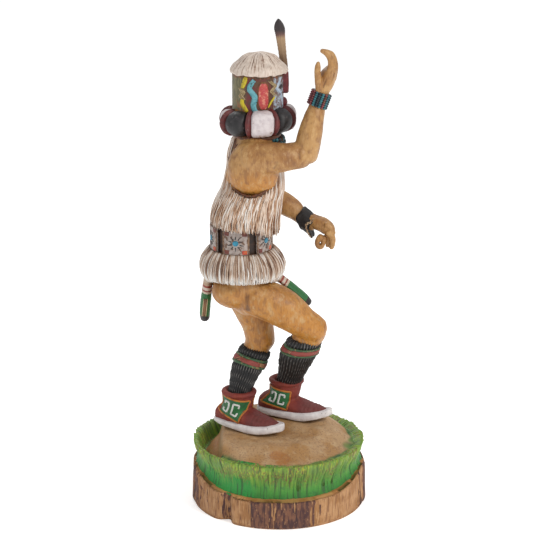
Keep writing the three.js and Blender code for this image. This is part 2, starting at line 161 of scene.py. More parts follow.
@dataclass(frozen=True)
class Flow:
    """A number, colour or vector that runs through a material, with its sums in plain Python."""

    tree: bpy.types.NodeTree
    socket: bpy.types.NodeSocket

    def math(self, operation: str, other: "Flow | float" = 0.0) -> "Flow":
        """One Math node on this value and another."""
        made = self.tree.nodes.new("ShaderNodeMath")
        made.operation = operation
        for socket, value in zip(made.inputs, (self, other)):
            feed(self.tree, socket, value)
        return Flow(self.tree, made.outputs[0])

    def __add__(self, other: "Flow | float") -> "Flow":
        """The sum."""
        return self.math("ADD", other)

    def __sub__(self, other: "Flow | float") -> "Flow":
        """The difference."""
        return self.math("SUBTRACT", other)

    def __mul__(self, other: "Flow | float") -> "Flow":
        """The product."""
        return self.math("MULTIPLY", other)

    __radd__ = __add__
    __rmul__ = __mul__

    def step(self, low: float, high: float) -> "Flow":
        """Runs softly from 0 at low to 1 at high, or down where low is the larger."""
        made = self.tree.nodes.new("ShaderNodeMapRange")
        made.interpolation_type = "SMOOTHSTEP"
        flip = low > high
        feed(self.tree, made.inputs["Value"], self)
        made.inputs["From Min"].default_value = min(low, high)
        made.inputs["From Max"].default_value = max(low, high)
        made.inputs["To Min"].default_value = 1.0 if flip else 0.0
        made.inputs["To Max"].default_value = 0.0 if flip else 1.0
        return Flow(self.tree, made.outputs[0])


def feed(tree: bpy.types.NodeTree, socket: bpy.types.NodeSocket, value: object) -> None:
    """Links a flow to a socket, or sets the socket's own value, a colour from its screen values."""
    if isinstance(value, Flow):
        tree.links.new(value.socket, socket)
    elif socket.type == "RGBA" and len(value) == 3:
        socket.default_value = colour(*value)
    else:
        socket.default_value = value


class Mixer:
    """One material while it is mixed."""

    def __init__(self, name: str, roughness: float, coat: float = 0.0) -> None:
        """Starts a material with its plain values on the shader."""
        self.material = bpy.data.materials.new(name)
        self.material.use_nodes = True
        self.tree = self.material.node_tree
        self.shader = self.tree.nodes["Principled BSDF"]
        self.shader.inputs["Roughness"].default_value = roughness
        self.shader.inputs["Coat Weight"].default_value = coat
        self.shader.inputs["Coat Roughness"].default_value = 0.35
        self.spot = self.node("ShaderNodeTexCoord", output="Object")

    def node(
        self,
        kind: str,
        settings: dict[str, object] | None = None,
        inputs: dict[int | str, object] | None = None,
        output: int | str = 0,
    ) -> Flow:
        """Adds one node.

        Args:
            kind: The node's type.
            settings: Its own settings, set first. A ramp's stops are (place, colour) pairs.
            inputs: Values or flows of its sockets.
            output: The socket that is passed on.
        Returns:
            The flow out of it.
        """
        made = self.tree.nodes.new(kind)
        for key, value in (settings or {}).items():
            if key == "stops":
                ramp = made.color_ramp
                for _ in value[2:]:
                    ramp.elements.new(0.5)
                for element, (where, tone) in zip(ramp.elements, value):
                    element.position = where
                    element.color = colour(*tone)
            elif key == "fade":
                made.color_ramp.interpolation = value
            else:
                setattr(made, key, value)
        for key, value in (inputs or {}).items():
            feed(self.tree, made.inputs[key], value)
        return Flow(self.tree, made.outputs[output])

    def mark(self, name: str = "mark") -> Flow:
        """The value that the modelling left on the mesh."""
        return self.node("ShaderNodeAttribute", {"attribute_name": name}, output="Fac")

    def stretched(self, stretch: Colour) -> Flow:
        """The place on the doll, squeezed so that a pattern runs long the other way."""
        return self.node("ShaderNodeVectorMath", {"operation": "MULTIPLY"}, {0: self.spot, 1: stretch})

    def noise(self, size: float, detail: float = 3.0, stretch: Colour = (1, 1, 1),
              twist: float = 0.0) -> Flow:
        """Noise with lumps of a size in millimetres, from 0 to 1."""
        return self.node("ShaderNodeTexNoise", inputs={
            "Vector": self.stretched(stretch),
            "Scale": 1 / (size * MM),
            "Detail": detail,
            "Distortion": twist,
        })

    def cells(self, size: float, stretch: Colour = (1, 1, 1)) -> Flow:
        """Distance to the nearest of many scattered points."""
        return self.node("ShaderNodeTexVoronoi", inputs={
            "Vector": self.stretched(stretch),
            "Scale": 1 / (size * MM),
        })

    def axis(self, letter: str) -> Flow:
        """One coordinate of the place on the doll, in millimetres."""
        return self.node("ShaderNodeSeparateXYZ", inputs={0: self.spot}, output=letter) * 1000.0

    def mix(self, share: Flow | float, a: object, b: object) -> Flow:
        """A colour between two, by a share."""
        return self.node("ShaderNodeMix", {"data_type": "RGBA"}, {0: share, 6: a, 7: b}, 2)

    def ramp(self, value: Flow, stops: Sequence[tuple[float, object]], fade: str = "LINEAR") -> Flow:
        """A colour read off a row of stops."""
        return self.node("ShaderNodeValToRGB", {"stops": stops, "fade": fade}, {0: value})

    def done(self, tone: Flow, height: Flow | None = None, depth: float = 0.1,
             roughness: Flow | None = None) -> bpy.types.Material:
        """Joins the colour, relief and gloss to the shader.

        Args:
            tone: The colour.
            height: The fine relief, from 0 to 1.
            depth: How deep that relief is, in millimetres.
            roughness: The gloss where it varies.
        Returns:
            The finished material.
        """
        feed(self.tree, self.shader.inputs["Base Color"], tone)
        if roughness is not None:
            feed(self.tree, self.shader.inputs["Roughness"], roughness)
        if height is not None:
            bump = self.node("ShaderNodeBump", inputs={"Height": height, "Distance": depth * MM})
            feed(self.tree, self.shader.inputs["Normal"], bump)
        return self.material


@dataclass(frozen=True)
class Paint:
    """Brushed paint on carved wood, uneven and rubbed through in places."""

    name: str
    main: Colour
    second: Colour
    worn: Colour = (150, 110, 80)
    wear: float = 0.25
    patch: float = 6.0
    gloss: float = 0.55
    relief: float = 0.12
    grain: Colour = (1.0, 1.0, 0.35)

    def mixed(self) -> bpy.types.Material:
        """The material."""
        m = Mixer(self.name, self.gloss)
        cloud = m.noise(self.patch, 4.0)
        stroke = m.noise(0.9, 5.0, self.grain)
        tone = m.mix(cloud.step(0.35, 0.65), self.main, self.second)
        tone = m.mix(stroke.step(0.62, 0.8) * 0.35, tone, (30, 24, 22))
        rubbed = (m.noise(2.2, 6.0) + cloud * 0.4).step(1.02 - self.wear * 0.6, 1.12 - self.wear * 0.6)
        tone = m.mix(rubbed, tone, self.worn)
        return m.done(tone, stroke + m.noise(0.35) * 0.4, self.relief, stroke * 0.25 + (self.gloss - 0.12))


@dataclass(frozen=True)
class Stripes:
    """Paint in bands or fades that follow the mark left on the piece."""

    name: str
    stops: tuple[tuple[float, Colour], ...]
    fade: str = "LINEAR"
    jitter: float = 0.05
    size: float = 2.0
    stretch: Colour = (1.0, 1.0, 0.3)
    gloss: float = 0.6
    relief: float = 0.12
    dirt: float = 0.3

    def mixed(self) -> bpy.types.Material:
        """The material."""
        m = Mixer(self.name, self.gloss)
        cloud = m.noise(self.size, 5.0, self.stretch)
        value = m.mark() + (cloud - 0.5) * (2 * self.jitter)
        tone = m.ramp(value, self.stops, self.fade)
        grime = m.noise(5.0, 5.0).step(0.5, 0.75) * self.dirt
        tone = m.mix(grime, tone, m.mix(0.65, tone, (60, 40, 25)))
        return m.done(tone, cloud + m.noise(0.4) * 0.5, self.relief, cloud * 0.2 + (self.gloss - 0.1))


@dataclass(frozen=True)
class CarvedSkin:
    """Stained root wood, rubbed smooth, golden low on the body, with painted shade in each crease and where one
    part shadows another.
    """

    name: str
    pale: Colour = (198, 150, 90)
    tan: Colour = (168, 116, 60)
    gold: Colour = (206, 134, 34)
    # The colour of the painted shade.
    dark: Colour = (84, 48, 24)
    gold_low: float = 234.0
    gold_high: float = 252.0
    gold_left: float = 0.0

    def mixed(self) -> bpy.types.Material:
        """The material."""
        m = Mixer(self.name, 0.5, 0.06)
        broad = m.noise(16.0, 3.0)
        cloud = m.noise(4.2, 6.0, (1.0, 1.0, 0.7))
        grain = m.noise(1.0, 6.0, (1.0, 1.0, 0.14), 0.5)
        tone = m.mix(broad.step(0.36, 0.64), self.tan, self.pale)
        low = m.axis("Z").step(self.gold_high, self.gold_low)
        low *= m.axis("X").step(self.gold_left, self.gold_left - 12.0)
        tone = m.mix(low * cloud.step(0.25, 0.55) * 0.8, tone, self.gold)
        tone = m.mix(cloud.step(0.5, 0.68) * 0.6, tone, (142, 94, 52))
        tone = m.mix(cloud.step(0.46, 0.32) * 0.5, tone, (216, 172, 112))
        fine = m.noise(0.45, 4.0, (1.0, 1.0, 0.4))
        tone = m.mix(grain.step(0.52, 0.7) * 0.32, tone, (124, 74, 36))
        tone = m.mix(fine.step(0.56, 0.7) * 0.16, tone, (96, 60, 34))
        tone = m.mix(grain.step(0.44, 0.3) * 0.25, tone, (226, 188, 136))
        fleck = m.cells(1.5, (1.0, 1.0, 0.5)).step(0.2, 0.04) * cloud.step(0.48, 0.62)
        tone = m.mix(fleck * 0.6, tone, (104, 60, 30))
        # Painted shade: the mark darkens the creases, the gaps between fingers and the spots that one part
        # shadows.
        painted_shade = (m.mark() * (grain + 0.5)).step(0.15, 0.95)
        tone = m.mix(painted_shade * 0.9, tone, self.dark)
        height = grain * 0.7 + cloud * 1.4 + fine * 0.3
        return m.done(tone, height, 0.3, grain * 0.2 + 0.36)


class Bark(Enum):
    """The two sides of the log's surface."""

    OUTER = (78, 44, 42)
    WOOD = (200, 150, 102)


@dataclass(frozen=True)
class LogWood:
    """Sawn and peeled wood with patches of dark bark still on it, and painted shade towards the back of the log.
    """

    name: str = "log_wood"

    def mixed(self) -> bpy.types.Material:
        """The material."""
        m = Mixer(self.name, 0.72)
        fibre = m.noise(1.0, 6.0, (1.0, 1.0, 0.1), 0.3)
        cloud = m.noise(9.0, 4.0)
        wood = m.mix(cloud.step(0.35, 0.65), Bark.WOOD.value, (172, 120, 70))
        # Painted shade: the wood darkens towards the back of the log.
        wood = m.mix(m.axis("Y").step(8.0, 44.0) * 0.3, wood, (142, 98, 62))
        wood = m.mix(fibre.step(0.52, 0.66) * 0.6, wood, (118, 72, 44))
        wood = m.mix(fibre.step(0.46, 0.32) * 0.4, wood, (226, 184, 136))
        speck = m.cells(1.4, (1.0, 1.0, 0.6)).step(0.2, 0.05) * m.noise(6.0).step(0.48, 0.6)
        wood = m.mix(speck * 0.8, wood, (112, 68, 44))
        bark = m.mix(m.noise(2.4, 5.0, (1.0, 1.0, 0.3)).step(0.4, 0.62), Bark.OUTER.value, (132, 86, 62))
        bark = m.mix(fibre.step(0.52, 0.7) * 0.75, bark, (52, 30, 32))
        chip = m.cells(1.6, (1.0, 1.0, 0.45)).step(0.3, 0.12) * m.noise(3.0, 4.0).step(0.46, 0.56)
        bark = m.mix(chip * 0.8, bark, (182, 134, 90))
        ragged = (fibre - 0.5) * 1.1 + (m.noise(3.4, 5.0, (1.0, 1.0, 0.5)) - 0.5) * 1.3
        edge = (m.mark() + ragged).step(0.42, 0.56)
        tone = m.mix(edge, wood, bark)
        ledge = m.mark("ledge")
        tone = m.mix(ledge * 0.75, tone, m.mix(cloud.step(0.4, 0.6), (206, 150, 84), (186, 124, 62)))
        return m.done(tone, fibre + m.noise(0.6) * 0.4, 0.3)


@dataclass(frozen=True)
class Grass:
    """Green paint on carved blades: dry yellow strokes at the rim, bright and smooth at the foot, painted
    highlights on the blade crests and painted shade in their grooves.
    """

    name: str = "turf_paint"

    def mixed(self) -> bpy.types.Material:
        """The material."""
        m = Mixer(self.name, 0.5, 0.08)
        blade = m.noise(1.0, 4.0, (1.0, 1.0, 0.13))
        cloud = m.noise(11.0, 3.0)
        share = m.mark() + (cloud - 0.5) * 0.35
        tone = m.ramp(share, (
            (0.0, (34, 124, 36)),
            (0.25, (66, 150, 44)),
            (0.5, (98, 156, 54)),
            (0.78, (104, 142, 50)),
            (1.0, (116, 158, 44)),
        ))
        back = m.axis("Y") + (cloud - 0.5) * 20.0
        wet = back.step(12.0, 20.0) * back.step(52.0, 44.0) * share.step(0.62, 0.45)
        tone = m.mix(wet * 0.85, tone, (6, 152, 50))
        # Painted highlight on the blade crests and painted shade in the grooves, both driven by the blade's
        # relief.
        cut = m.mark("cut") + (blade - 0.5) * 0.8
        tone = m.mix(cut.step(0.0, 0.5) * share.step(0.15, 0.7) * 0.75, tone, (150, 186, 60))
        tone = m.mix(cut.step(-0.1, -0.55) * 0.7, tone, (44, 76, 30))
        dry = share.step(0.5, 0.95) * blade.step(0.5, 0.62) * cloud.step(0.36, 0.6)
        tone = m.mix(dry * 0.8, tone, (184, 192, 44))
        bare = share.step(0.3, 0.6) * m.noise(0.8, 3.0, (1.0, 1.0, 0.1)).step(0.5, 0.62)
        bare *= cloud.step(0.4, 0.55)
        tone = m.mix(bare * 0.8, tone, (126, 82, 56))
        deep = m.noise(4.0, 4.0).step(0.56, 0.72) * share.step(0.9, 0.3)
        tone = m.mix(deep * 0.55, tone, (20, 104, 48))
        return m.done(tone, blade + m.noise(0.5) * 0.3, 0.3, blade * 0.2 + 0.4)


@dataclass(frozen=True)
class Sand:
    """Pale tan ground with grey speckle, orange where it dips, greener near the turf."""

    name: str = "sand_paint"

    def mixed(self) -> bpy.types.Material:
        """The material."""
        m = Mixer(self.name, 0.66)
        broad = m.noise(22.0, 3.0)
        cloud = m.noise(6.0, 5.0)
        tone = m.mix(broad.step(0.4, 0.62), (196, 158, 114), (184, 138, 84))
        tone = m.mix(cloud.step(0.5, 0.7) * 0.5, tone, (216, 186, 146))
        tone = m.mix(m.noise(1.4, 5.0).step(0.52, 0.64) * 0.5, tone, (136, 98, 68))
        tone = m.mix(m.mark("dip").step(0.2, 0.95) * 0.75 * cloud.step(0.25, 0.5), tone, (176, 112, 48))
        grit = m.cells(0.9).step(0.36, 0.1) * m.noise(10.0, 4.0).step(0.44, 0.56)
        tone = m.mix(grit * 0.75, tone, (112, 94, 96))
        tone = m.mix(m.mark("edge").step(0.35, 0.95), tone, m.mix(cloud.step(0.4, 0.6), (52, 98, 40),
                                                                  (96, 128, 50)))
        return m.done(tone, cloud + m.noise(0.8, 4.0) * 0.4, 0.3)


@dataclass(frozen=True)
class MaskGround:
    """The mask's painted ground: striped olive behind, dark red between the figures, pale in front."""

    name: str = "mask_ground"

    def mixed(self) -> bpy.types.Material:
        """The material."""
        m = Mixer(self.name, 0.5, 0.05)
        cloud = m.noise(3.4, 4.0)
        stroke = m.noise(0.8, 5.0, (1.0, 1.0, 0.14))
        front = m.axis("Y") * -1.0
        tone = m.mix(stroke.step(0.4, 0.6), (88, 84, 52), (134, 126, 84))
        rust = m.axis("Z").step(294.0, 286.0) * m.noise(4.0).step(0.48, 0.56)
        tone = m.mix(rust * 0.85, tone, (168, 98, 42))
        red = (front + (cloud - 0.5) * 7.0).step(-25.0, -21.0)
        tone = m.mix(red, tone, m.mix(cloud.step(0.46, 0.6), (112, 28, 34), (84, 54, 34)))
        brown = (front + (cloud - 0.5) * 4.0).step(-20.0, -17.0)
        tone = m.mix(brown * 0.8, tone, m.mix(cloud.step(0.42, 0.56), (84, 66, 34), (112, 40, 36)))
        tone = m.mix(stroke.step(0.56, 0.68) * 0.5, tone, (40, 26, 20))
        pale = (front + (cloud - 0.5) * 3.0).step(-4.4, -2.6)
        face = m.mix(cloud.step(0.44, 0.58), (176, 190, 204), (124, 112, 104))
        tone = m.mix(pale, tone, face)
        patch = m.noise(2.6, 3.0).step(0.52, 0.6) * pale
        tone = m.mix(patch * 0.8, tone, (104, 48, 44))
        spot = m.cells(3.4).step(0.26, 0.16) * pale
        tone = m.mix(spot * 0.9, tone, (66, 52, 66))
        brow = (m.axis("Z") + (cloud - 0.5) * 3.0).step(306.2, 308.4)
        tone = m.mix(brow, tone, m.mix(stroke.step(0.45, 0.55), (84, 56, 24), (132, 78, 38)))
        return m.done(tone, stroke + cloud * 0.5, 0.25)


@functools.cache
def material_of(finish: object) -> bpy.types.Material:
    """The material of a finish, mixed once."""
    return finish.mixed()


class Slot(Enum):
    """The record's finish and CAD node that a piece stands for."""

    FIGURE = ("skin", "figure")
    BASE = ("bark", "base")
    FEATHER = ("plume", "feather")


class Carving:
    """One piece while it is carved: its mesh, and the marks that its paint reads."""

    end_round = 0.8

    def __init__(self, name: str) -> None:
        """Starts an empty piece."""
        self.name = name
        self.bm = bmesh.new()
        self.mark = self.layer("mark")

    def ring(self, frame: Matrix, sides: int, square: float = 1.0) -> list[bmesh.types.BMEdge]:
        """Adds one closed loop.

        Args:
            frame: Turns the unit circle into the ring's place and size.
            sides: How many edges it has.
            square: 1 for an ellipse, less for a rounder box.
        Returns:
            Its edges.
        """
        made = bmesh.ops.create_circle(self.bm, segments=sides, radius=1.0)["verts"]
        for vertex in made:
            x, y = (copysign(abs(value) ** square, value) for value in vertex.co.xy)
            vertex.co = frame @ Vector((x, y, 0.0))
        return list({edge for vertex in made for edge in vertex.link_edges})

    def loft(self, frames: Sequence[Matrix], sides: int, square: float = 1.0) -> None:
        """Skins rings from end to end and closes both ends."""
        rings = [self.ring(frame, sides, square) for frame in frames]
        for first, second in zip(rings, rings[1:]):
            bmesh.ops.bridge_loops(self.bm, edges=first + second)
        for end in (rings[0], rings[-1]):
            bmesh.ops.edgeloop_fill(self.bm, edges=end)

    def limb(self, stations: Sequence[Row], sides: int = 20, fine: int = 4) -> None:
        """Skins a limb with round ends through rows of forward, left, up, thick and wide."""
        count = (len(stations) - 1) * fine
        rows = [spline(stations, k / count) for k in range(count + 1)]
        spots = [place(*row[:3]) for row in rows]
        frames = []
        for k, row in enumerate(rows):
            along = (spots[min(k + 1, count)] - spots[max(k - 1, 0)]).normalized()
            wide = (Vector((1, 0, 0)) - along * along.x).normalized()
            thick = along.cross(wide)
            reach = min(row[3], row[4]) * MM
            bends = {0: (-80, -50, -25, 0), count: (0, 25, 50, 80)}.get(k, (0,))
            sizes = [(sin(radians(bend)) * self.end_round, cos(radians(bend))) for bend in bends]
            for shift, scale in sizes:
                frames.append(framed(spots[k] + along * shift * reach, thick * row[3] * MM * scale,
                                     wide * row[4] * MM * scale, along))
        self.loft(frames, sides)

    def column(self, rows: Sequence[Row], sides: int = 32, fine: int = 4) -> None:
        """Skins an upright form through rows of forward, left, up, deep and wide."""
        count = (len(rows) - 1) * fine
        frames = []
        for k in range(count + 1):
            forward, left, up, deep, wide = spline(rows, k / count)
            size = Matrix.Diagonal((wide * MM, deep * MM, 1.0, 1.0))
            frames.append(Matrix.Translation(place(forward, left, up)) @ size)
        self.loft(frames, sides)

    def ball(self, centre: Row, radii: Row, segments: int = 28) -> None:
        """Adds an egg with radii forward, left and up."""
        deep, wide, high = radii
        frame = Matrix.Translation(place(*centre)) @ Matrix.Diagonal((wide * MM, deep * MM, high * MM, 1.0))
        bmesh.ops.create_uvsphere(self.bm, u_segments=segments, v_segments=segments // 2,
                                  radius=1.0, matrix=frame)

    def layer(self, name: str) -> bmesh.types.BMLayerItem:
        """Adds another mark."""
        return self.bm.verts.layers.float.new(name)

    def lathe(self, profile: Sequence[Row], steps: int, shape: Callable[[float, float, float], object],
              closed: bool = False, layers: Sequence[bmesh.types.BMLayerItem] = ()) -> None:
        """Spins a profile about the upright axis and moves each point to its shaped place.

        Args:
            profile: Radius and height pairs, in millimetres.
            steps: How many steps go round.
            shape: Gives a point from its angle, radius and height.
            closed: True where the profile's ends meet.
            layers: The marks that shape gives after the point, where it gives any.
        """
        points = [self.bm.verts.new((radius * MM, 0, up * MM)) for radius, up in profile]
        pairs = list(zip(points, points[1:])) + ([(points[-1], points[0])] if closed else [])
        edges = [self.bm.edges.new(pair) for pair in pairs]
        bmesh.ops.spin(self.bm, geom=points + edges, cent=(0, 0, 0), axis=(0, 0, 1), dvec=(0, 0, 0),
                       angle=TURN, steps=steps, use_merge=True, use_normal_flip=False, use_duplicate=False)
        bmesh.ops.remove_doubles(self.bm, verts=self.bm.verts, dist=1e-6)
        for vertex in self.bm.verts:
            x, y, z = vertex.co / MM
            made = shape(atan2(x, -y), hypot(x, y), z)
            vertex.co, values = made if layers else (made, ())
            for layer, value in zip(layers, values):
                vertex[layer] = value

    def tinted(self, mark: Callable[[Vector], float]) -> None:
        """Sets each point's mark from its place."""
        for vertex in self.bm.verts:
            vertex[self.mark] = mark(vertex.co)

    def pushed(self, depth: Callable[[Vector], float]) -> None:
        """Moves each point along its normal by a depth in millimetres."""
        self.turned_out()
        self.bm.normal_update()
        moves = [vertex.normal * depth(vertex.co) * MM for vertex in self.bm.verts]
        for vertex, move in zip(self.bm.verts, moves):
            vertex.co += move

    def roughened(self, *lumps: tuple[float, float]) -> None:
        """Moves the surface by noise, from pairs of depth and size of the lumps in millimetres."""
        self.pushed(lambda spot: sum(depth * rough(spot, size) for depth, size in lumps))

    def turned_out(self) -> None:
        """Points every face outwards."""
        bmesh.ops.recalc_face_normals(self.bm, faces=self.bm.faces)

    def fused(self, voxel: float, rounds: int) -> None:
        """Melts overlapping forms into one skin and smooths it.

        Args:
            voxel: The grain of the new skin in millimetres.
            rounds: How often it is smoothed.
        """
        self.turned_out()
        mesh = bpy.data.meshes.new(self.name + "_rough")
        self.bm.to_mesh(mesh)
        holder = bpy.data.objects.new(self.name + "_rough", mesh)
        bpy.context.collection.objects.link(holder)
        melt = holder.modifiers.new("melt", "REMESH")
        melt.mode = "VOXEL"
        melt.voxel_size = voxel * MM
        depsgraph = bpy.context.evaluated_depsgraph_get()
        melted = bpy.data.meshes.new_from_object(holder.evaluated_get(depsgraph))
        bpy.data.objects.remove(holder)
        self.bm.free()
        self.bm = bmesh.new()
        self.bm.from_mesh(melted)
        self.mark = self.bm.verts.layers.float.get("mark") or self.layer("mark")
        for _ in range(rounds):
            bmesh.ops.smooth_vert(self.bm, verts=self.bm.verts, factor=0.5, use_axis_x=True, use_axis_y=True,
                                  use_axis_z=True)

    def finished(self, finish: object, slot: Slot = Slot.FIGURE,
                 shade_smooth: bool = True) -> bpy.types.Object:
        """Makes the scene's piece from the carved mesh.

        Args:
            finish: Its finish.
            slot: The CAD node that it stands for, which is hidden; the finish slot paired with it is not used.
            shade_smooth: False for a faceted look.
        Returns:
            The piece.
        """
        self.turned_out()
        mesh = bpy.data.meshes.new(self.name)
        for face in self.bm.faces:
            face.smooth = shade_smooth
        self.bm.to_mesh(mesh)
        self.bm.free()
        mesh.materials.append(material_of(finish))
        piece = bpy.data.objects.new(self.name, mesh)
        bpy.context.collection.objects.link(piece)
        finish_slot, node = slot.value
        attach(piece, "root")
        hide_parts(node)
        triangles = sum(len(polygon.vertices) - 2 for polygon in mesh.polygons)
        LOG.info("%s: %d triangles", self.name, triangles)
        return piece


@dataclass
class Strand:
    """One carved strand, laid on a surface."""

    points: list[Vector]
    outs: list[Vector]
    width: float
    thick: float
    tint: float
    taper: float = 0.6
    lead: float = 0.3

    def size(self, share: float) -> float:
        """How full the strand is at a share of its length."""
        return (1 - self.taper * share ** 5) * (1 - self.lead * (1 - share) ** 6)


@functools.cache
def strand_template(sides: int, rings: int) -> bpy.types.Mesh:
    """A straight tube from 0 to 1 that each strand is bent from."""
    bm = bmesh.new()
    bmesh.ops.create_cone(bm, cap_ends=True, segments=sides, radius1=1.0, radius2=1.0, depth=1.0,
                          matrix=Matrix.Translation((0, 0, 0.5)))
    upright = [edge for edge in bm.edges if abs(edge.verts[0].co.z - edge.verts[1].co.z) > 0.5]
    bmesh.ops.subdivide_edges(bm, edges=upright, cuts=rings - 2, use_grid_fill=True)
    mesh = bpy.data.meshes.new("strand_template")
    bm.to_mesh(mesh)
    bm.free()
    return mesh


def lay_strands(carving: Carving, strands: Sequence[Strand], sides: int = 6) -> None:
    """Bends one copy of the plain tube along each strand and marks it lighter on its crest."""
    rings = len(strands[0].points)
    template = strand_template(sides, rings)
    count = len(template.vertices)
    start = len(carving.bm.verts)
    for _ in strands:
        carving.bm.from_mesh(template)
    carving.bm.verts.ensure_lookup_table()
    for index, strand in enumerate(strands):
        alongs = [
            (strand.points[min(k + 1, rings - 1)] - strand.points[max(k - 1, 0)]).normalized()
            for k in range(rings)
        ]
        first = start + index * count
        for vertex in carving.bm.verts[first:first + count]:
            across, out, share = vertex.co
            k = round(share * (rings - 1))
            side = alongs[k].cross(strand.outs[k]).normalized()
            size = strand.size(share) * MM
            vertex.co = strand.points[k] + side * across * strand.width * size + strand.outs[k] * (
                out * strand.thick * size)
            vertex[carving.mark] = strand.tint + 0.22 * out


def tile(carving: Carving, across: int, rise: int, size: float,
         bend: Callable[[float, float, float], Vector]) -> None:
    """Adds a flat tile and bends it into place.

    Args:
        carving: The piece that it becomes part of.
        across: How many squares it has across.
        rise: How many it has up.
        size: The half width of the flat tile.
        bend: Gives a point from its flat x and y, and 0 on the underside or 1 on top.
    """
    made = bmesh.ops.create_grid(carving.bm, x_segments=across, y_segments=rise, size=size)["verts"]
    faces = list({face for vertex in made for face in vertex.link_faces})
    grown = bmesh.ops.extrude_face_region(carving.bm, geom=faces)["geom"]
    lifted = [item for item in grown if isinstance(item, bmesh.types.BMVert)]
    for top, vertices in enumerate((made, lifted)):
        for vertex in vertices:
            vertex.co = bend(vertex.co.x, vertex.co.y, top)


def ribbon(carving: Carving, points: Sequence[Vector], outs: Sequence[Vector], width: float, thick: float,
           sides: int = 8, taper: float = 0.25) -> None:
    """Lays one raised ribbon along a path, rounded off at its ends."""
    lay_strands(carving, [Strand(list(points), list(outs), width, thick, 0.5, taper, taper)], sides)


